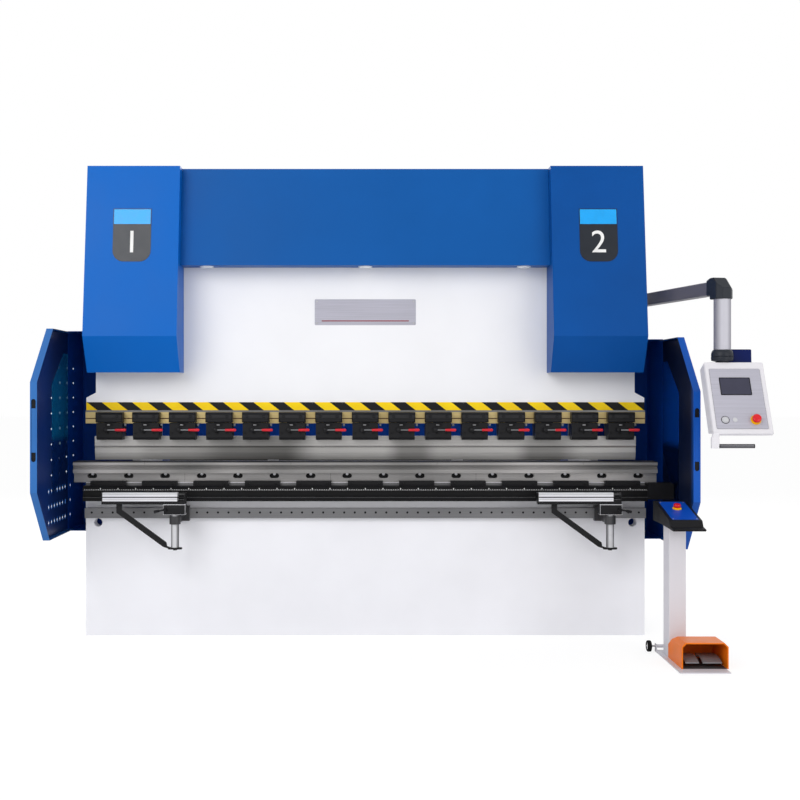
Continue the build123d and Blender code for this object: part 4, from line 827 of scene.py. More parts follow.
# %% Clamp levers
def clamp_lever(number):
    """Hub, shaft and grip of one clamp lever."""
    name = f"clamp_lever_{number:02d}"
    low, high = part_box(name)
    z = (low.z + high.z) / 2
    depth = high.y - low.y
    hub_radius = (high.z - low.z) / 2
    hub_x = low.x + hub_radius
    shaft_y = low.y + 0.0085
    grip_length = 0.063
    grip_start = high.x - grip_length + 0.007
    hub_profile = [
        (0, hub_radius),
        (depth - 0.006, hub_radius),
        (depth - 0.003, hub_radius - 0.002),
        (depth - 0.001, hub_radius - 0.007),
        (depth, hub_radius - 0.010),
    ]
    grip_profile = [
        (0, 0.0058),
        (0.002, 0.0068),
        (0.020, 0.0074),
        (0.050, 0.0083),
        (0.057, 0.0080),
        (0.061, 0.0062),
        (grip_length, 0.0030),
    ]
    mesh = drawn(turned, to_operator(hub_x, high.y, z), hub_profile, 28)
    rod(mesh, (hub_x, shaft_y, z), (grip_start + 0.004, shaft_y, z), 0.0045, 16, finish=1)
    turned(mesh, to_right(grip_start, shaft_y, z), grip_profile, 20, finish=2)
    finishes = [black_steel, rail_steel, grip_red]
    return fit(f"{name}_dressed", mesh, finishes, f"lever_{number:02d}", "lever_red", (name,))


for number in range(1, clamp_count + 1):
    clamp_lever(number)

# %% [markdown]
# ## Tool segments
# Long tools come in segments. Where two meet, a hairline joint shows. A hairline is thinner than
# any groove worth cutting, so it is a narrow dark inlay. The punch also has a brighter upper
# face above a fine step, and the die a black strip along its top edge: painted shadow of the gap
# under the punch.

# %% Punch face, step line and the die's painted shadow
punch_box = (punch_low, punch_high)
punch_step_z = punch_high.z - 0.057
line_half = 0.001
punch_face = drawn(front_strip, punch_box, punch_step_z + line_half, punch_high.z, 0.0003)
fit("punch_upper_face", punch_face, [upper_steel], "ram", "tool_steel")
line_ends = (punch_step_z - line_half, punch_step_z + line_half)
punch_line = drawn(front_strip, punch_box, *line_ends, 0.0004)
fit("punch_step_line", punch_line, [black_steel], "ram", "tool_steel")
die_low, die_high = die_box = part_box("lower_die")
# Painted shadow: a black strip along the die's top edge, in the gap under the punch.
die_gap_shadow = drawn(front_strip, die_box, die_high.z - 0.005, die_high.z, 0.0004, sunk=0.001)
fit("die_top_edge", die_gap_shadow, [black_steel], "root", "tool_steel")

# %% Hairline joints
holder_low, holder_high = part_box("die_holder")
segment = 0.835
for name, start_x, count, front, low, high, body, slot in (
    ("punch_joints", -1.495, 4, punch_low.y, 1.1, punch_high.z, "ram", "tool_steel"),
    ("die_joints", -1.26, 4, die_low.y, 0.979, die_high.z, "root", "tool_steel"),
    ("holder_joints", -1.035, 3, holder_low.y, holder_low.z, holder_high.z, "root", "holder_steel"),
):
    hairline = drawn(block, (-0.0006, -0.0003, low), (0.0006, 0, high))
    row(name, hairline, (start_x, front, 0), segment, count, black_steel, body, slot)

# %% [markdown]
# ## Die holder windows
# Behind each keyhole window sits a dark crowning wedge, and the bright head of its screw shows
# in the round upper part of the window.

# %% Keyhole inlays
keyhole_count = 16
keyhole_pitch = (holder_high.x - holder_low.x) / keyhole_count
first_keyhole = holder_low.x + keyhole_pitch / 2
keyhole_z = holder_low.z + 0.037
wedge = drawn(plate, to_operator(0, 0, 0), rounded(0.0549, 0.0269, 0.0134), 0.003)
for name, unit, sunk, z, finish in (
    ("keyhole_wedges", wedge, 0.030, keyhole_z, black_plastic),
    ("keyhole_screws", screw_head(0.0084, 0.012), 0.022, keyhole_z + 0.0095, zinc),
):
    start = (first_keyhole, holder_low.y + sunk, z)
    row(name, unit, start, keyhole_pitch, keyhole_count, finish, "root", "holder_steel")

# %% [markdown]
# ## Bed, front rail and guide rail
# The painted bed ends in a strip of bare ground steel. The black rail below it carries a rule
# with a mark every centimetre and a longer one every decimetre, and the guide rail under it has
# a screw hole every 60 mm.

# %% Bare strip and die clamp screws
rail_low, rail_high = rail_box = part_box("front_rail")
bed_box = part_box("bed_plate")
bare_strip = drawn(front_strip, bed_box, rail_high.z, bed_box[1].z - 0.002, 0.0006)
fit("bed_bare_strip", bare_strip, [bare_edge], "root", "frame_white")

die_clamps_low, die_clamps_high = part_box("die_clamps")
die_clamp_count = 11
die_clamp_length = 0.2
screw_inset = 0.022
last_die_clamp_x = die_clamps_high.x - die_clamp_length
die_clamp_pitch = (last_die_clamp_x - die_clamps_low.x) / (die_clamp_count - 1)
for title, offset in (("left", screw_inset), ("right", die_clamp_length - screw_inset)):
    name = f"die_clamp_screws_{title}"
    head = screw_head(0.006, 0.004)
    start = (die_clamps_low.x + offset, die_clamps_low.y, rail_high.z + 0.011)
    row(name, head, start, die_clamp_pitch, die_clamp_count, black_plastic, "root", "clamp_black")

# %% Rule marks and rail lips
rule_middle_z = rail_high.z - 0.022
for title, pitch, width, height in (("fine", 0.01, 0.0032, 0.0035), ("long", 0.1, 0.004, 0.012)):
    mark = drawn(block, (-width / 2, -0.0003, 0), (width / 2, 0, height))
    start = (rail_low.x + pitch, rail_low.y, rule_middle_z)
    marks = round((rail_high.x - rail_low.x) / pitch) - 1
    row(f"rule_marks_{title}", mark, start, pitch, marks, mark_white, "root", "rail_black")

lips = bmesh.new()
for z in (rail_low.z + 0.0225, rail_high.z - 0.0245):
    front_strip(lips, rail_box, z - 0.0006, z + 0.0006, 0.0002, sunk=0.001)
fit("rail_lips", lips, [rail_steel], "root", "rail_black")

# %% Rail holes and end box screws
guide_low, guide_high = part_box("guide_rail")
hole_pitch = 0.06
hole_count = int((guide_high.x - guide_low.x) / hole_pitch)
hole_start = (
    -(hole_count - 1) * hole_pitch / 2,
    guide_low.y,
    (guide_low.z + guide_high.z) / 2 + 0.004,
)
hole = drawn(turned, to_operator(0, 0, 0), [(0, 0.0062), (0.0004, 0.0062)], 20)
holes = (hole_start, hole_pitch, hole_count)
row("guide_rail_holes", hole, *holes, black_rubber, "root", "guide_steel")

end_low, end_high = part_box("rail_end_box")
end_pitch = end_high.x - end_low.x - 0.026
for title, z in (("lower", end_low.z + 0.010), ("upper", end_high.z - 0.010)):
    head = screw_head(0.004, 0.002)
    start = (end_low.x + 0.012, end_low.y, z)
    row(f"end_box_screws_{title}", head, start, end_pitch, 2, black_steel, "root", "box_black")

# %% [markdown]
# ## Badges on the hoods
# Each hood carries a dark shield with a cyan field at its top and the number of its axis. The
# hood's face leans back, so the badge is drawn flat and then laid on that slope.

# %% The slope and the shield
hood_low, hood_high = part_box("hood_right")
hood_kink = Vector((0, hood_low.y, hood_low.z + 0.199))
hood_crown = Vector((0, hood_low.y + 0.130, hood_high.z))
hood_up = (hood_crown - hood_kink).normalized()
hood_out = Vector((0, -hood_up.z, hood_up.y))
badge_width = 0.212
badge_height = 0.302
badge_thickness = 0.002
badge_z = 2.268
field_height = 0.084
digit_drop = 0.045
badge_share = (badge_z - hood_kink.z) / (hood_crown.z - hood_kink.z)
badge_base = hood_kink.lerp(hood_crown, badge_share)


def shield_outline(width, height, radius, steps=8):
    """Square shoulders and a rounded foot."""
    half = width / 2
    points = [(half, height / 2), (-half, height / 2)]
    for side, first_angle in ((-1, pi), (1, 1.5 * pi)):
        for number in range(steps + 1):
            angle = first_angle + pi / 2 * number / steps
            x = side * (half - radius) + radius * cos(angle)
            y = -height / 2 + radius + radius * sin(angle)
            points.append((x, y))
    return points


# %% Shield badges
def axis_number(name, place, digit):
    """A raised digit, made a mesh before it is laid in its place."""
    letters = bpy.data.curves.new(name, "FONT")
    letters.body = digit
    letters.size = 0.18
    letters.extrude = 0.0006
    letters.align_x = "CENTER"
    letters.align_y = "CENTER"
    holder = linked(name, letters)
    flat = evaluated_mesh(holder)
    bpy.data.objects.remove(holder)
    flat.transform(moved(place, 0, -digit_drop, badge_thickness + letters.extrude))
    flat.materials.clear()
    flat.materials.append(mark_white)
    return carried(linked(name, flat), "root")


def axis_badge(title, x, digit):
    """Shield, cyan field and the axis number, on the slope of a hood."""
    place = facing((x, badge_base.y, badge_base.z), hood_out, hood_up)
    shield = shield_outline(badge_width, badge_height, 0.062)
    mesh = drawn(plate, place, shield, badge_thickness)
    field = moved(place, 0, badge_height / 2 - field_height / 2 - 0.004, badge_thickness)
    plate(mesh, field, rounded(badge_width - 0.008, field_height, 0.003), 0.0004, finish=1)
    fit(f"badge_{title}", mesh, [badge_dark, badge_cyan], "root", "hood_blue")
    axis_number(f"badge_number_{title}", place, digit)


hood_middle = (hood_low.x + hood_high.x) / 2
axis_badge("left", -hood_middle, "1")
axis_badge("right", hood_middle, "2")

# %% [markdown]
# ## Pendant
# The operator's panel hangs from a swinging arm. The solid arm and box have the right places but
# one colour each, so both are rebuilt: a tube, a cast elbow with a sloped crown, a round post, a
# swivel, and a white housing whose grey panel is sunk into a bevelled face.

# %% Places on the pendant
arm_low, arm_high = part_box("pendant_arm")
joint_places = {
    joint["name"]: Vector(joint["pos_m"]) for joint in frame["joints"] if "pos_m" in joint
}
pivot = joint_places["pendant_arm_swing"]
swivel = joint_places["pendant_swivel"]
post_radius = 0.044
post_low = arm_low.z
elbow_half = 0.047
elbow_low = 1.876
tube_half = 0.035
arm_reach = Vector((swivel.x - pivot.x, swivel.y - pivot.y, 0))
arm_way = arm_reach.normalized()

# %% Arm, elbow and post
tube_outline = rounded(2 * tube_half, 2 * tube_half, 0.006)
tube_place = facing(pivot + arm_way * 0.036, arm_way)
tube = drawn(plate, tube_place, tube_outline, arm_reach.length - 0.1)
knuckle_end = Vector((0, 0, tube_half))
rod(tube, pivot - knuckle_end, pivot + knuckle_end, 0.042, 48, 0.002)
fit("pendant_tube", tube, [tube_grey], "pendant_swing", "pendant_tube")


def elbow_corner(edge):
    """Whether an edge is an upright corner at the front of the elbow."""
    first, second = (corner.co for corner in edge.verts)
    ahead = (first - swivel).dot(arm_way)
    return ahead > elbow_half * 0.98 and abs(first.z - second.z) > 0.02


straight_up = Vector((0, 0, 1))
elbow_turn = Matrix((arm_way, straight_up, straight_up.cross(arm_way))).transposed()
elbow_place = Matrix.Translation((swivel.x, swivel.y, 0)) @ elbow_turn.to_4x4()
neck_reach = 0.084
neck_half = tube_half + 0.005
elbow_outline = [
    (-elbow_half, elbow_low),
    (elbow_half, elbow_low),
    (elbow_half, elbow_low + 0.059),
    (-elbow_half * 0.2, arm_high.z),
    (-elbow_half, arm_high.z),
    (-neck_reach, pivot.z + neck_half),
    (-neck_reach, pivot.z - neck_half),
    (-elbow_half - 0.004, pivot.z - neck_half),
]
elbow = drawn(plate, moved(elbow_place, 0, 0, -elbow_half), elbow_outline, 2 * elbow_half)
break_edges(elbow, 0.024, [edge for edge in elbow.edges if elbow_corner(edge)], segments=1)
break_edges(elbow, 0.003)
fit("pendant_elbow", elbow, [dark_casting], "pendant_swing", "pendant_tube")

post_ends = ((swivel.x, swivel.y, post_low), (swivel.x, swivel.y, elbow_low + 0.01))
post = drawn(rod, *post_ends, post_radius, 64)
fit("pendant_post", post, [post_grey], "pendant_swing", "pendant_tube", ("pendant_arm",))

# %% [markdown]
# The housing leans back by its tilt, so its pieces are drawn in a frame on its face: x to the
# right, y up the slope and z out towards the operator.

# %% The case and its sunk face
tilt = radians(26)
case_width = 0.306
case_height = 0.409
case_depth = 0.080
face_out = Vector((0, -cos(tilt), sin(tilt)))
face_up = Vector((0, sin(tilt), cos(tilt)))
swivel_floor = post_low - 0.085
face_top_z = swivel_floor + 0.004 + case_depth / 2 * sin(tilt)
face_top = Vector((swivel.x + 0.046, swivel.y - case_depth / 2 * cos(tilt), face_top_z))
face = facing(face_top - face_up * case_height / 2, face_out, face_up)
panel_width = 0.258
panel_height = 0.336
panel_thickness = 0.003
panel_sink = 0.003
panel_drop = 0.004
panel_floor = -panel_sink - panel_thickness

back = moved(face, 0, 0, -case_depth)
case = drawn(plate, back, rounded(case_width, case_height, 0.010), case_depth + panel_floor)
case_floor = face_top.z - case_height * cos(tilt)
everything = case.verts[:] + case.edges[:] + case.faces[:]
cut = bmesh.ops.bisect_plane(
    case, geom=everything, plane_co=(0, 0, case_floor), plane_no=(0, 0, -1), clear_outer=True
)
open_rim = [part for part in cut["geom_cut"] if isinstance(part, bmesh.types.BMEdge)]
bmesh.ops.edgeloop_fill(case, edges=open_rim)
rim = moved(face, 0, 0, panel_floor)
slope_rings = []
for width, height, radius, level, drop in (
    (case_width, case_height, 0.010, -0.010, 0),
    (case_width - 0.002, case_height - 0.002, 0.009, 0.002, 0),
    (case_width - 0.008, case_height - 0.008, 0.006, 0.006, 0),
    (panel_width + 0.012, panel_height + 0.012, 0.005, 0.006, panel_drop),
    (panel_width, panel_height, 0.004, 0.001, panel_drop),
):
    outline = [(x, y - drop) for x, y in rounded(width, height, radius)]
    slope_rings.append(ring(case, rim, outline, level))
for outer_ring, inner_ring in zip(slope_rings, slope_rings[1:]):
    walls(case, outer_ring, inner_ring)
fit("pendant_case", case, [pendant_white], "pendant_head", "pendant_shell", ("pendant_box",))

# %% Panel and screen
panel_place = moved(face, 0, -panel_drop, panel_floor)
seam_outer = rounded(panel_width + 0.003, panel_height + 0.003, 0.005)
seam_inner = rounded(panel_width - 0.0005, panel_height - 0.0005, 0.004)
seam_place = moved(panel_place, 0, 0, 0.0013)
panel = drawn(flat_frame, seam_place, seam_outer, seam_inner, 0.0012, finish=1)
panel_outline = rounded(panel_width + 0.001, panel_height + 0.001, 0.004)
plate(panel, panel_place, panel_outline, panel_thickness)
fit("pendant_panel", panel, [panel_grey, badge_dark], "pendant_head", "pendant_shell")

screen_place = moved(panel_place, -0.0065, 0.069, panel_thickness)
glass_outline = rounded(0.151, 0.092, 0.002)
screen = drawn(flat_frame, screen_place, rounded(0.159, 0.100, 0.004), glass_outline, 0.0016)
plate(screen, screen_place, glass_outline, 0.0008, finish=1)
fit("pendant_screen", screen, [black_plastic, screen_glass], "pendant_head", "pendant_shell")

# %% Buttons and emergency stop
controls_y = -0.124
round_button, small_button, collar = (
    moved(face, x, controls_y, -panel_sink) for x in (-0.082, -0.033, 0.072)
)
controls = drawn(turned, round_button, [(0, 0.0212), (0.0012, 0.0212)], 40, finish=3)
turned(controls, round_button, [(0, 0.0185), (0.002, 0.0185), (0.0035, 0.017), (0.0035, 0.0142)])
turned(controls, small_button, [(0, 0.0125), (0.002, 0.0125), (0.003, 0.0115)], 32, finish=1)
collar_profile = [
    (0, 0.0265),
    (0.004, 0.0265),
    (0.0055, 0.0250),
    (0.0062, 0.0150),
    (0.0062, 0.0104),
]
turned(controls, collar, collar_profile, finish=2)
control_finishes = [zinc, button_grey, stop_yellow, black_plastic]
fit("pendant_controls", controls, control_finishes, "pendant_head", "pendant_shell")


def mushroom_head(name, place, level, body, solid, size=1.0):
    """Red head of an emergency stop; level is how far its stem lifts the rim."""
    stem_low = 0.0056
    profile = [
        (stem_low, 0.0095),
        (level - 0.0005, 0.0095),
        (level, 0.0185),
        (level + 0.003, 0.0222),
        (level + 0.011, 0.0224),
        (level + 0.015, 0.0208),
        (level + 0.0175, 0.0168),
        (level + 0.0182, 0.0120),
        (level + 0.0172, 0.0050),
    ]
    mesh = drawn(turned, place, [(up, radius * size) for up, radius in profile])
    return fit(name, mesh, [stop_red], body, "estop_red", (solid,))


mushroom_head("pendant_stop_head", collar, 0.012, "pendant_estop_head", "pendant_estop")
cap_profile = [(-0.010, 0.0138), (0.0045, 0.0138), (0.006, 0.0125), (0.0065, 0.008)]
cap = drawn(turned, round_button, cap_profile)
cap_home = ("pendant_push_button", "button_green", ("pendant_button",))
fit("pendant_button_cap", cap, [button_grey], *cap_home)

# %% Swivel and rear housing
bell_profile = [
    (0, 0.030),
    (0.028, 0.034),
    (0.034, 0.0555),
    (0.050, 0.0575),
    (0.054, 0.0570),
    (0.0555, 0.0548),
    (0.058, 0.0570),
    (0.070, 0.0562),
    (0.081, 0.0535),
    (0.0900, 0.0475),
]
bell_place = facing((swivel.x, swivel.y, swivel_floor - 0.006), (0, 0, 1))
bell = drawn(turned, bell_place, bell_profile, 56)
fit("pendant_bell", bell, [dark_casting], "pendant_head", "pendant_tube")

housing_x = face_top.x + 0.053
housing_half = 0.0645
housing_low = swivel_floor - 0.148
housing_high = swivel_floor + 0.089
housing_rear = swivel.y + 0.074
case_back_y = face_top.y + case_depth * cos(tilt)
housing_outline = [
    (case_back_y - 0.062, housing_low),
    (housing_rear, housing_low),
    (housing_rear, housing_high),
    (case_back_y + 0.002, housing_high),
    (case_back_y + 0.002, face_top.z - 0.040),
]
housing_place = to_right(housing_x - housing_half, 0, 0)
housing = drawn(plate, housing_place, housing_outline, 2 * housing_half)
break_edges(housing, 0.003)
fit("pendant_housing", housing, [navy_coat], "pendant_head", "pendant_shell")

# %% Handle
bottom = face_top - face_up * case_height
handle_y = bottom.y + 0.008
handle_z = case_floor - 0.060
handle_left = face_top.x - case_width / 2 - 0.010
handle_right = handle_left + 0.218


def handle_rod(mesh, left, right, radius, **more):
    """A length of round bar on the handle's axis."""
    rod(mesh, (left, handle_y, handle_z), (right, handle_y, handle_z), radius, 40, **more)


handle = drawn(handle_rod, handle_left + 0.038, handle_right, 0.0108, edge=0.002)
for end_x in (handle_left + 0.0395, handle_right - 0.004):
    handle_rod(handle, end_x, end_x + 0.005, 0.0112, finish=1)
fit("pendant_handle", handle, [handle_steel, black_plastic], "pendant_head", "pendant_shell")

bracket_outline = [
    (handle_left, handle_z - 0.0112),
    (handle_left + 0.040, handle_z - 0.0112),
    (handle_left + 0.040, bottom.z + 0.008),
    (handle_left + 0.012, bottom.z + 0.008),
    (handle_left, bottom.z - 0.020),
]
bracket = drawn(plate, to_operator(0, handle_y + 0.0055, 0), bracket_outline, 0.016)
break_edges(bracket, 0.0015)
fit("pendant_bracket", bracket, [pendant_white], "pendant_head", "pendant_shell")

# %% [markdown]
# ## Foot switch
# A white post on a thin base plate carries a black sloping console with a blue top plate, and an
# orange hood over two pedals. The console is rebuilt as a moulded shell with a lip at its nose.

# %% Console shell
console_low, console_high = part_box("stand_console")
console_middle = (console_low.x + console_high.x) / 2
console_ridge = console_high.y - 0.055
console_top = console_high.z - 0.0001
slope_end = console_ridge - 0.305
nose_z = console_top - 0.068
shelf_z = console_top - 0.105
column_front = -0.645
slope = atan2(console_top - nose_z, console_ridge - slope_end)
slope_up = Vector((0, cos(slope), sin(slope)))
slope_out = Vector((0, -sin(slope), cos(slope)))
console_outline = [
    (column_front, shelf_z),
    (console_low.y + 0.008, shelf_z - 0.012),
    (console_low.y, shelf_z - 0.006),
    (console_low.y + 0.008, shelf_z),
    (slope_end - 0.018, shelf_z + 0.004),
    (slope_end, nose_z),
    (console_ridge, console_top),
    (console_high.y, console_top),
    (console_high.y, shelf_z),
]
console_place = to_right(console_low.x, 0, 0)
console = drawn(plate, console_place, console_outline, console_high.x - console_low.x)
break_edges(console, 0.002, clamp_overlap=True)
fit("console_shell", console, [black_plastic], "foot_stand", "box_black", ("stand_console",))

# %% Console top plate, screws and stop
plate_length = 0.296
plate_thickness = 0.0012
ridge_point = Vector((console_middle, console_ridge, console_top))
top_centre = ridge_point - slope_up * (plate_length / 2 + 0.006)
top_place = facing(top_centre, slope_out, slope_up)
top_plate = drawn(plate, top_place, rounded(0.136, plate_length, 0.003), plate_thickness)
fit("console_top_plate", top_plate, [plate_blue], "foot_stand", "box_black")

screw_x = 0.060
screw_y = plate_length / 2 - 0.010
top_screws = bmesh.new()
for x, y in ((-screw_x, -screw_y), (-screw_x, screw_y), (screw_x, -screw_y), (screw_x, screw_y)):
    spot = moved(top_place, x, y, plate_thickness)
    turned(top_screws, spot, [(0, 0.0036), (0.0012, 0.0034), (0.0018, 0.0020)], 16)
fit("console_screws", top_screws, [zinc], "foot_stand", "box_black")

stop_run = 0.124
stop_ground = ridge_point - Vector((0, stop_run, stop_run * sin(slope) / cos(slope)))
stop_place = facing(stop_ground, slope_out, slope_up)
collar_profile = [
    (0.0005, 0.0235),
    (0.006, 0.0235),
    (0.009, 0.0205),
    (0.0098, 0.0150),
    (0.0098, 0.0104),
]
stop_collar = drawn(turned, stop_place, collar_profile)
fit("console_collar", stop_collar, [stop_yellow], "foot_stand", "box_black")
head_place = moved(stop_place, 0, 0, 0.004)
mushroom_head("console_stop_head", head_place, 0.007, "console_estop_head", "console_estop", 0.84)

# %% [markdown]
# The castor wheels have a black tyre on a pale five-spoke hub, and turn together on one axle.

# %% Wheels
wheels_low, wheels_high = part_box("stand_wheels")
wheel_radius = (wheels_high.z - wheels_low.z) / 2
wheel_width = 0.024
spoke_count = 5
axle = (wheels_low + wheels_high) / 2
tyre_profile = [
    (0, 0.020),
    (0, wheel_radius - 0.006),
    (0.002, wheel_radius - 0.002),
    (0.005, wheel_radius),
    (wheel_width - 0.005, wheel_radius),
    (wheel_width - 0.002, wheel_radius - 0.002),
    (wheel_width, wheel_radius - 0.006),
    (wheel_width - 0.001, 0.019),
    (wheel_width - 0.006, 0.0175),
]
hub_profile = [(0.001, 0.0070), (wheel_width - 0.0015, 0.0070), (wheel_width - 0.0005, 0.0055)]
wheels = bmesh.new()
for outer_x, side in ((wheels_low.x, -1), (wheels_high.x, 1)):
    inner_x = outer_x - side * wheel_width
    place = facing((inner_x, axle.y, axle.z), (side, 0, 0))
    turned(wheels, place, tyre_profile, 48)
    turned(wheels, place, hub_profile, 24, 1)
    hub = Vector((inner_x + side * (wheel_width - 0.005), axle.y, axle.z))
    for number in range(spoke_count):
        angle = 2 * pi * number / spoke_count
        way = Vector((0, cos(angle), sin(angle)))
        rod(wheels, hub + way * 0.006, hub + way * 0.0185, 0.0026, 12, 0.0004, finish=1)
axle_ends = ((wheels_low.x + 0.003, axle.y, axle.z), (wheels_high.x - 0.003, axle.y, axle.z))
rod(wheels, *axle_ends, 0.005, 24, finish=2)
wheel_finishes = [black_rubber, mark_white, zinc]
wheel_home = ("stand_wheelset", "wheel_black", ("stand_wheels",))
fit("stand_wheel_pair", wheels, wheel_finishes, *wheel_home)

# %% [markdown]
# ## Support arms
# The arms that hold the sheet have bright slotted beams, a dark sole, hub and brace, and a
# polished post. Each solid has one slot for its finish, so the other parts get thin sleeves.


# %% The brace
arm_skin = 0.0006
beam_height = 0.047
beam_half_width = 0.0225
sole_height = 0.017
hub_reach = 0.061
hub_half_width = 0.031
hub_low = 0.714
foot_top = 0.529
foot_height = 0.008
foot_low = foot_top - foot_height
sleeve_radius = 0.0216


def brace_outline(axis_x, sole_low, half):
    """The bent bar from under the beam down to the foot plate, as (x, z) points."""
    top = Vector((axis_x - 0.310, sole_low - 0.040))
    low = Vector((axis_x - 0.057, foot_top + 0.017))
    fall = atan2(top.y - low.y, low.x - top.x)
    across_x = half * sin(fall)
    across_z = half * cos(fall)
    bend = half * (cos(fall) - (1 - sin(fall)) * sin(fall) / cos(fall))
    post_side = axis_x - 0.022
    return [
        (top.x - half, sole_low),
        (top.x - half, top.y - bend),
        (low.x - across_x, low.y - across_z),
        (post_side, foot_low - arm_skin),
        (post_side, foot_top + arm_skin),
        (low.x + across_x + 0.004, foot_top + foot_height + arm_skin),
        (low.x + across_x, low.y + across_z),
        (top.x + half, top.y + bend),
        (top.x + half, sole_low),
    ]


# %% Arm fittings
def dark_fittings(low, high, axis):
    """Sole, hub, end caps, brace and foot of one arm, as one dark mesh."""
    beam_low = high.z - beam_height
    sole_low = beam_low - sole_height
    front = axis.y - beam_half_width - arm_skin
    rear = axis.y + beam_half_width + arm_skin
    sole_start = (low.x, front, sole_low - arm_skin)
    dark = drawn(block, sole_start, (high.x - 0.001, rear, beam_low), 0.001)
    hub_x = hub_reach + arm_skin
    hub_y = hub_half_width + arm_skin
    hub_start = (axis.x - hub_x, axis.y - hub_y, hub_low - arm_skin)
    block(dark, hub_start, (axis.x + hub_x, axis.y + hub_y, sole_low - arm_skin), 0.004)
    for cap_x in (low.x, high.x - 0.006):
        block(dark, (cap_x, front, beam_low), (cap_x + 0.006, rear, high.z), 0.0008)
    brace_place = to_operator(0, axis.y + 0.004 + arm_skin, 0)
    brace = brace_outline(axis.x, sole_low, 0.015 + arm_skin)
    plate(dark, brace_place, brace, 0.008 + 2 * arm_skin)
    foot_place = Matrix.Translation((axis.x, axis.y, foot_low - arm_skin))
    foot_thickness = foot_height + 2 * arm_skin
    plate(dark, foot_place, rounded(0.079, 0.039, 0.019), foot_thickness)
    rod(dark, (axis.x, axis.y, foot_low), (axis.x, axis.y, foot_low - 0.006), 0.012, 24)
    return dark


def beam_lines(low, high, middle_y):
    """Painted shade in the groove, and the hairlines along the front of a beam, each with its
    finish.
    """
    front = middle_y - beam_half_width
    beam_low = high.z - beam_height
    lines = bmesh.new()
    for bottom, top, finish in (
        # The first row, in the dark finish, is painted shade in the groove; the rest are hairlines.
        (0.0195, 0.0255, 1),
        (0.0085, 0.0100, 0),
        (0.0360, 0.0378, 0),
        (0.0440, 0.0452, 0),
    ):
        start = (low.x + 0.006, front - 0.0004, beam_low + bottom)
        block(lines, start, (high.x - 0.006, front + 0.001, beam_low + top), finish=finish)
    return lines


def clamping_lever(root, way):
    """The lever that clamps an arm on its post: boss, shaft and grip."""
    boss_end = root + Vector((0, -0.018, 0))
    lever = drawn(rod, root, boss_end, 0.010, 24, 0.002)
    shaft_start = root + Vector((0, -0.012, 0))
    rod(lever, shaft_start, root + Vector((way * 0.045, -0.018, -0.008)), 0.0045, 16)
    grip_start = root + Vector((way * 0.028, -0.0155, -0.005))
    rod(lever, grip_start, root + Vector((way * 0.060, -0.020, -0.011)), 0.0075, 20, 0.003)
    return lever


def arm_fittings(side, way):
    """Dark fittings, groove lines, bright post and clamping lever of one arm."""
    low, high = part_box(f"support_arm_{side}")
    x = joint_places[f"arm_{side}_swing"].x
    y = (low.y + high.y) / 2
    home = (f"sheet_arm_{side}", "arm_aluminium")
    dark = dark_fittings(low, high, Vector((x, y)))
    fit(f"arm_{side}_dark_fittings", dark, [black_steel], *home)
    fit(f"arm_{side}_lines", beam_lines(low, high, y), [rail_steel, black_steel], *home)
    post = drawn(rod, (x, y, foot_top + 0.002), (x, y, hub_low - 0.002), sleeve_radius, 48)
    fit(f"arm_{side}_post", post, [post_steel], f"carriage_{side}", "carriage_grey")
    root_z = (hub_low + high.z - beam_height - sole_height) / 2
    root = Vector((x + way * 0.050, y - hub_half_width - arm_skin, root_z))
    fit(f"arm_{side}_clamp_lever", clamping_lever(root, way), [black_plastic], *home)


for side, way in (("left", -1), ("right", 1)):
    arm_fittings(side, way)

# %% [markdown]
# ## Guard details
# The holes of the left guard get a pressed rim that leaves a smaller diamond, and both grab slots
# a black sheet behind them, painted shade in the slot. Pale diamonds on the left pane are the
# holes behind it, seen through its tint. A black strip on the rear screen is painted shadow
# behind the bending gap.

# %% Diamond rims
door_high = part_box("guard_left")[1]
flange_width = 0.037
panel_x = door_high.x - flange_width
diamond_pitch = 0.087
first_diamond_z = 0.925
front_y = -0.175
middle_y = -0.0035
rear_y = 0.168
rim_thickness = 0.0026


def diamond(length, height):
    """Outline of a hole, centred on its place."""
    return [(-length / 2, 0), (0, height / 2), (length / 2, 0), (0, -height / 2)]


def diamond_row(name, mesh, y, first, count, finish, body="guard_door_left", slot="guard_blue"):
    """Copies of a diamond up one column of holes; first is the number of the lowest one."""
    start = (0, y, first_diamond_z + first * diamond_pitch)
    return row(name, mesh, start, diamond_pitch, count, finish, body, slot, (0, 0, 1))


rim_place = to_right(panel_x + 0.0002, 0, 0)
hole_outline = diamond(0.048, 0.042)
for title, y, count, body in (
    ("first", front_y, 6, "guard_door_left"),
    ("second", middle_y, 8, "guard_door_left"),
    ("third", rear_y, 8, "guard_door_left"),
    ("box", 0.3395, 8, "root"),
):
    hole_rim = drawn(flat_frame, rim_place, hole_outline, diamond(0.030, 0.017), rim_thickness)
    diamond_row(f"hole_rims_{title}", hole_rim, y, 0, count, guard_left_blue, body)
plug = drawn(plate, rim_place, hole_outline, rim_thickness)
diamond_row("hole_plugs", plug, front_y, 6, 2, guard_left_blue)

# %% Diamonds seen through the pane
pane_face = to_right(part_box("guard_window_left")[1].x, 0, 0)
for title, y, first in (("middle", middle_y, 2), ("rear", rear_y, 3)):
    shine = drawn(plate, pane_face, diamond(0.030, 0.020), 0.0003)
    name = f"pane_diamonds_{title}"
    diamond_row(name, shine, y, first, 5, pane_diamond, slot="guard_window")

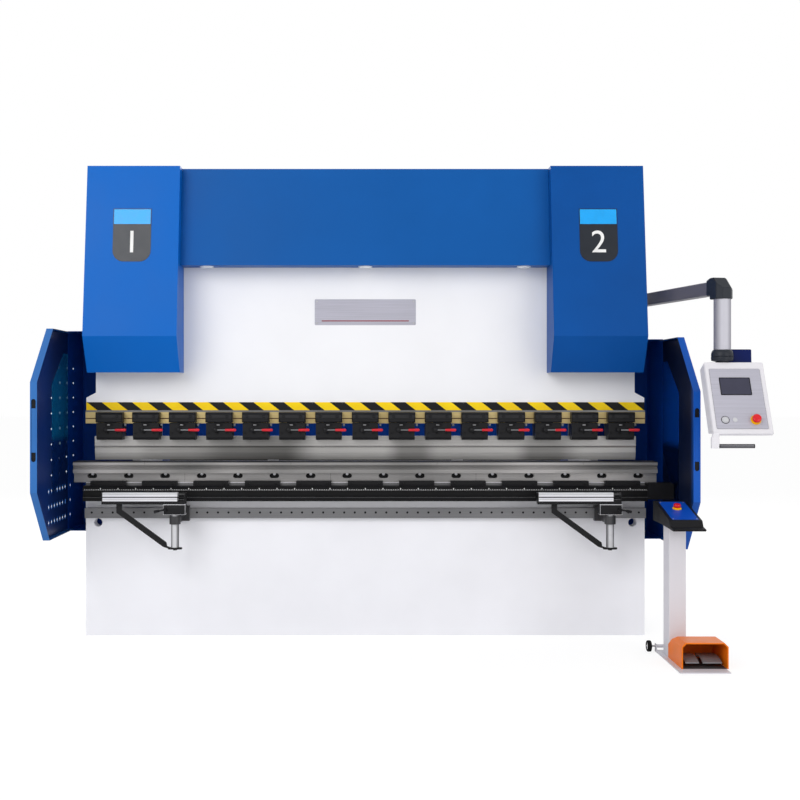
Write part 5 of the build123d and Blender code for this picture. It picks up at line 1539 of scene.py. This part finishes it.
# %% Painted shade in the grab slots
slot_x = flange_width / 2 - door_high.x
slot_rise = 0.611
for side, way in (("left", -1), ("right", 1)):
    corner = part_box(f"guard_{side}")[0]
    slot_shade_place = to_operator(way * slot_x, corner.y + 0.0075, corner.z + slot_rise)
    # Painted shade: a black sheet behind each grab slot.
    slot_shade = drawn(plate, slot_shade_place, rounded(0.029, 0.338, 0.0144), 0.0012)
    fit(f"grab_lining_{side}", slot_shade, [black_plastic], f"guard_door_{side}", "guard_blue")

# %% Painted shadow strip on the rear screen
screen_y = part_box("guard_boxes")[1].y - 0.030
shadow_strip_end = (1.30, screen_y + 0.0002, 1.02)
# Painted shadow: a black strip on the rear screen, seen through the bending gap.
screen_strip = drawn(block, (-1.30, screen_y - 0.0015, 0.86), shadow_strip_end)
fit("screen_strip", screen_strip, [black_rubber], "root", "guard_blue")

# %% Mat under the pedals
cover_low, cover_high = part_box("pedal_hood")
mat_low = cover_low + Vector((0.008, 0.004, 0.0002))
mat_high = (cover_high.x - 0.008, cover_high.y - 0.02, cover_low.z + 0.0015)
mat = drawn(block, mat_low, mat_high)
fit("pedal_mat", mat, [mat_grey], "foot_stand", "frame_white")

# %% [markdown]
# ## Light, floor and camera
# A big soft lamp from the front left, a weaker one from the right, one from behind and a plain
# grey sky light the machine so that a colour looks as it was mixed. Camera, glossy and
# transmitted rays see white.

# %% World
world = bpy.data.worlds.new("studio")
scene.world = world
world.use_nodes = True
sky = world.node_tree
white = (1, 1, 1, 1)
ambient = sky.nodes["Background"].outputs["Background"]
ambient.node.inputs["Color"].default_value = white
ambient.node.inputs["Strength"].default_value = 0.66
backdrop = node(sky, "Background", {"Color": white, "Strength": 1.0}, "Background")
rays = sky.nodes.new("ShaderNodeLightPath").outputs
mirrored = {0: rays["Is Glossy Ray"], 1: rays["Is Transmission Ray"]}
any_glossy = node(sky, "Math", mirrored, "Value", operation="MAXIMUM")
looking = {0: rays["Is Camera Ray"], 1: any_glossy}
any_seen = node(sky, "Math", looking, "Value", operation="MAXIMUM")
studio = node(sky, "MixShader", {"Fac": any_seen, 1: ambient, 2: backdrop}, "Shader")
sky.links.new(studio, sky.nodes["World Output"].inputs["Surface"])

# %% Floor
floor_finish, tree, shader = blank_finish("studio_floor", sheen=0.1)
shader.inputs["Base Color"].default_value = (0.93, 0.93, 0.93, 1)
shader.inputs["Roughness"].default_value = 0.9
glow = node(tree, "Emission", {"Color": white, "Strength": 1.1}, "Emission")
camera_ray = tree.nodes.new("ShaderNodeLightPath").outputs["Is Camera Ray"]
glow_share = node(tree, "Math", {0: camera_ray, 1: 0.75}, "Value", operation="MULTIPLY")
floor_inputs = {"Fac": glow_share, 1: shader.outputs["BSDF"], 2: glow}
floor_look = node(tree, "MixShader", floor_inputs, "Shader")
tree.links.new(floor_look, tree.nodes["Material Output"].inputs["Surface"])
ground = bmesh.new()
bmesh.ops.create_grid(ground, x_segments=1, y_segments=1, size=60)
finished("studio_floor", ground, [floor_finish])

# %% Lamps
machine_middle = Vector((0, 0, 1.3))


def soft_lamp(name, place, power):
    """A square area lamp that points at the middle of the machine."""
    lamp = bpy.data.lights.new(name, "AREA")
    lamp.shape = "SQUARE"
    lamp.size = 5.0
    lamp.energy = power
    linked(name, lamp).matrix_world = facing(place, Vector(place) - machine_middle)


soft_lamp("key", (-4.5, -8.0, 5.5), 330)
soft_lamp("fill", (6.0, -7.0, 3.0), 130)
soft_lamp("back", (0, 7.0, 5.0), 200)

# %% Camera
lens = bpy.data.cameras.new("camera")
lens.lens = 54.99
lens.sensor_width = 36
lens.shift_x = 0.0434
lens.shift_y = -0.011
lens.clip_end = 200
camera = linked("camera", lens)
camera.location = (0, -7.040, 1.398)
camera.rotation_euler = (pi / 2, 0, 0)
scene.camera = camera
scene.view_settings.view_transform = "Standard"
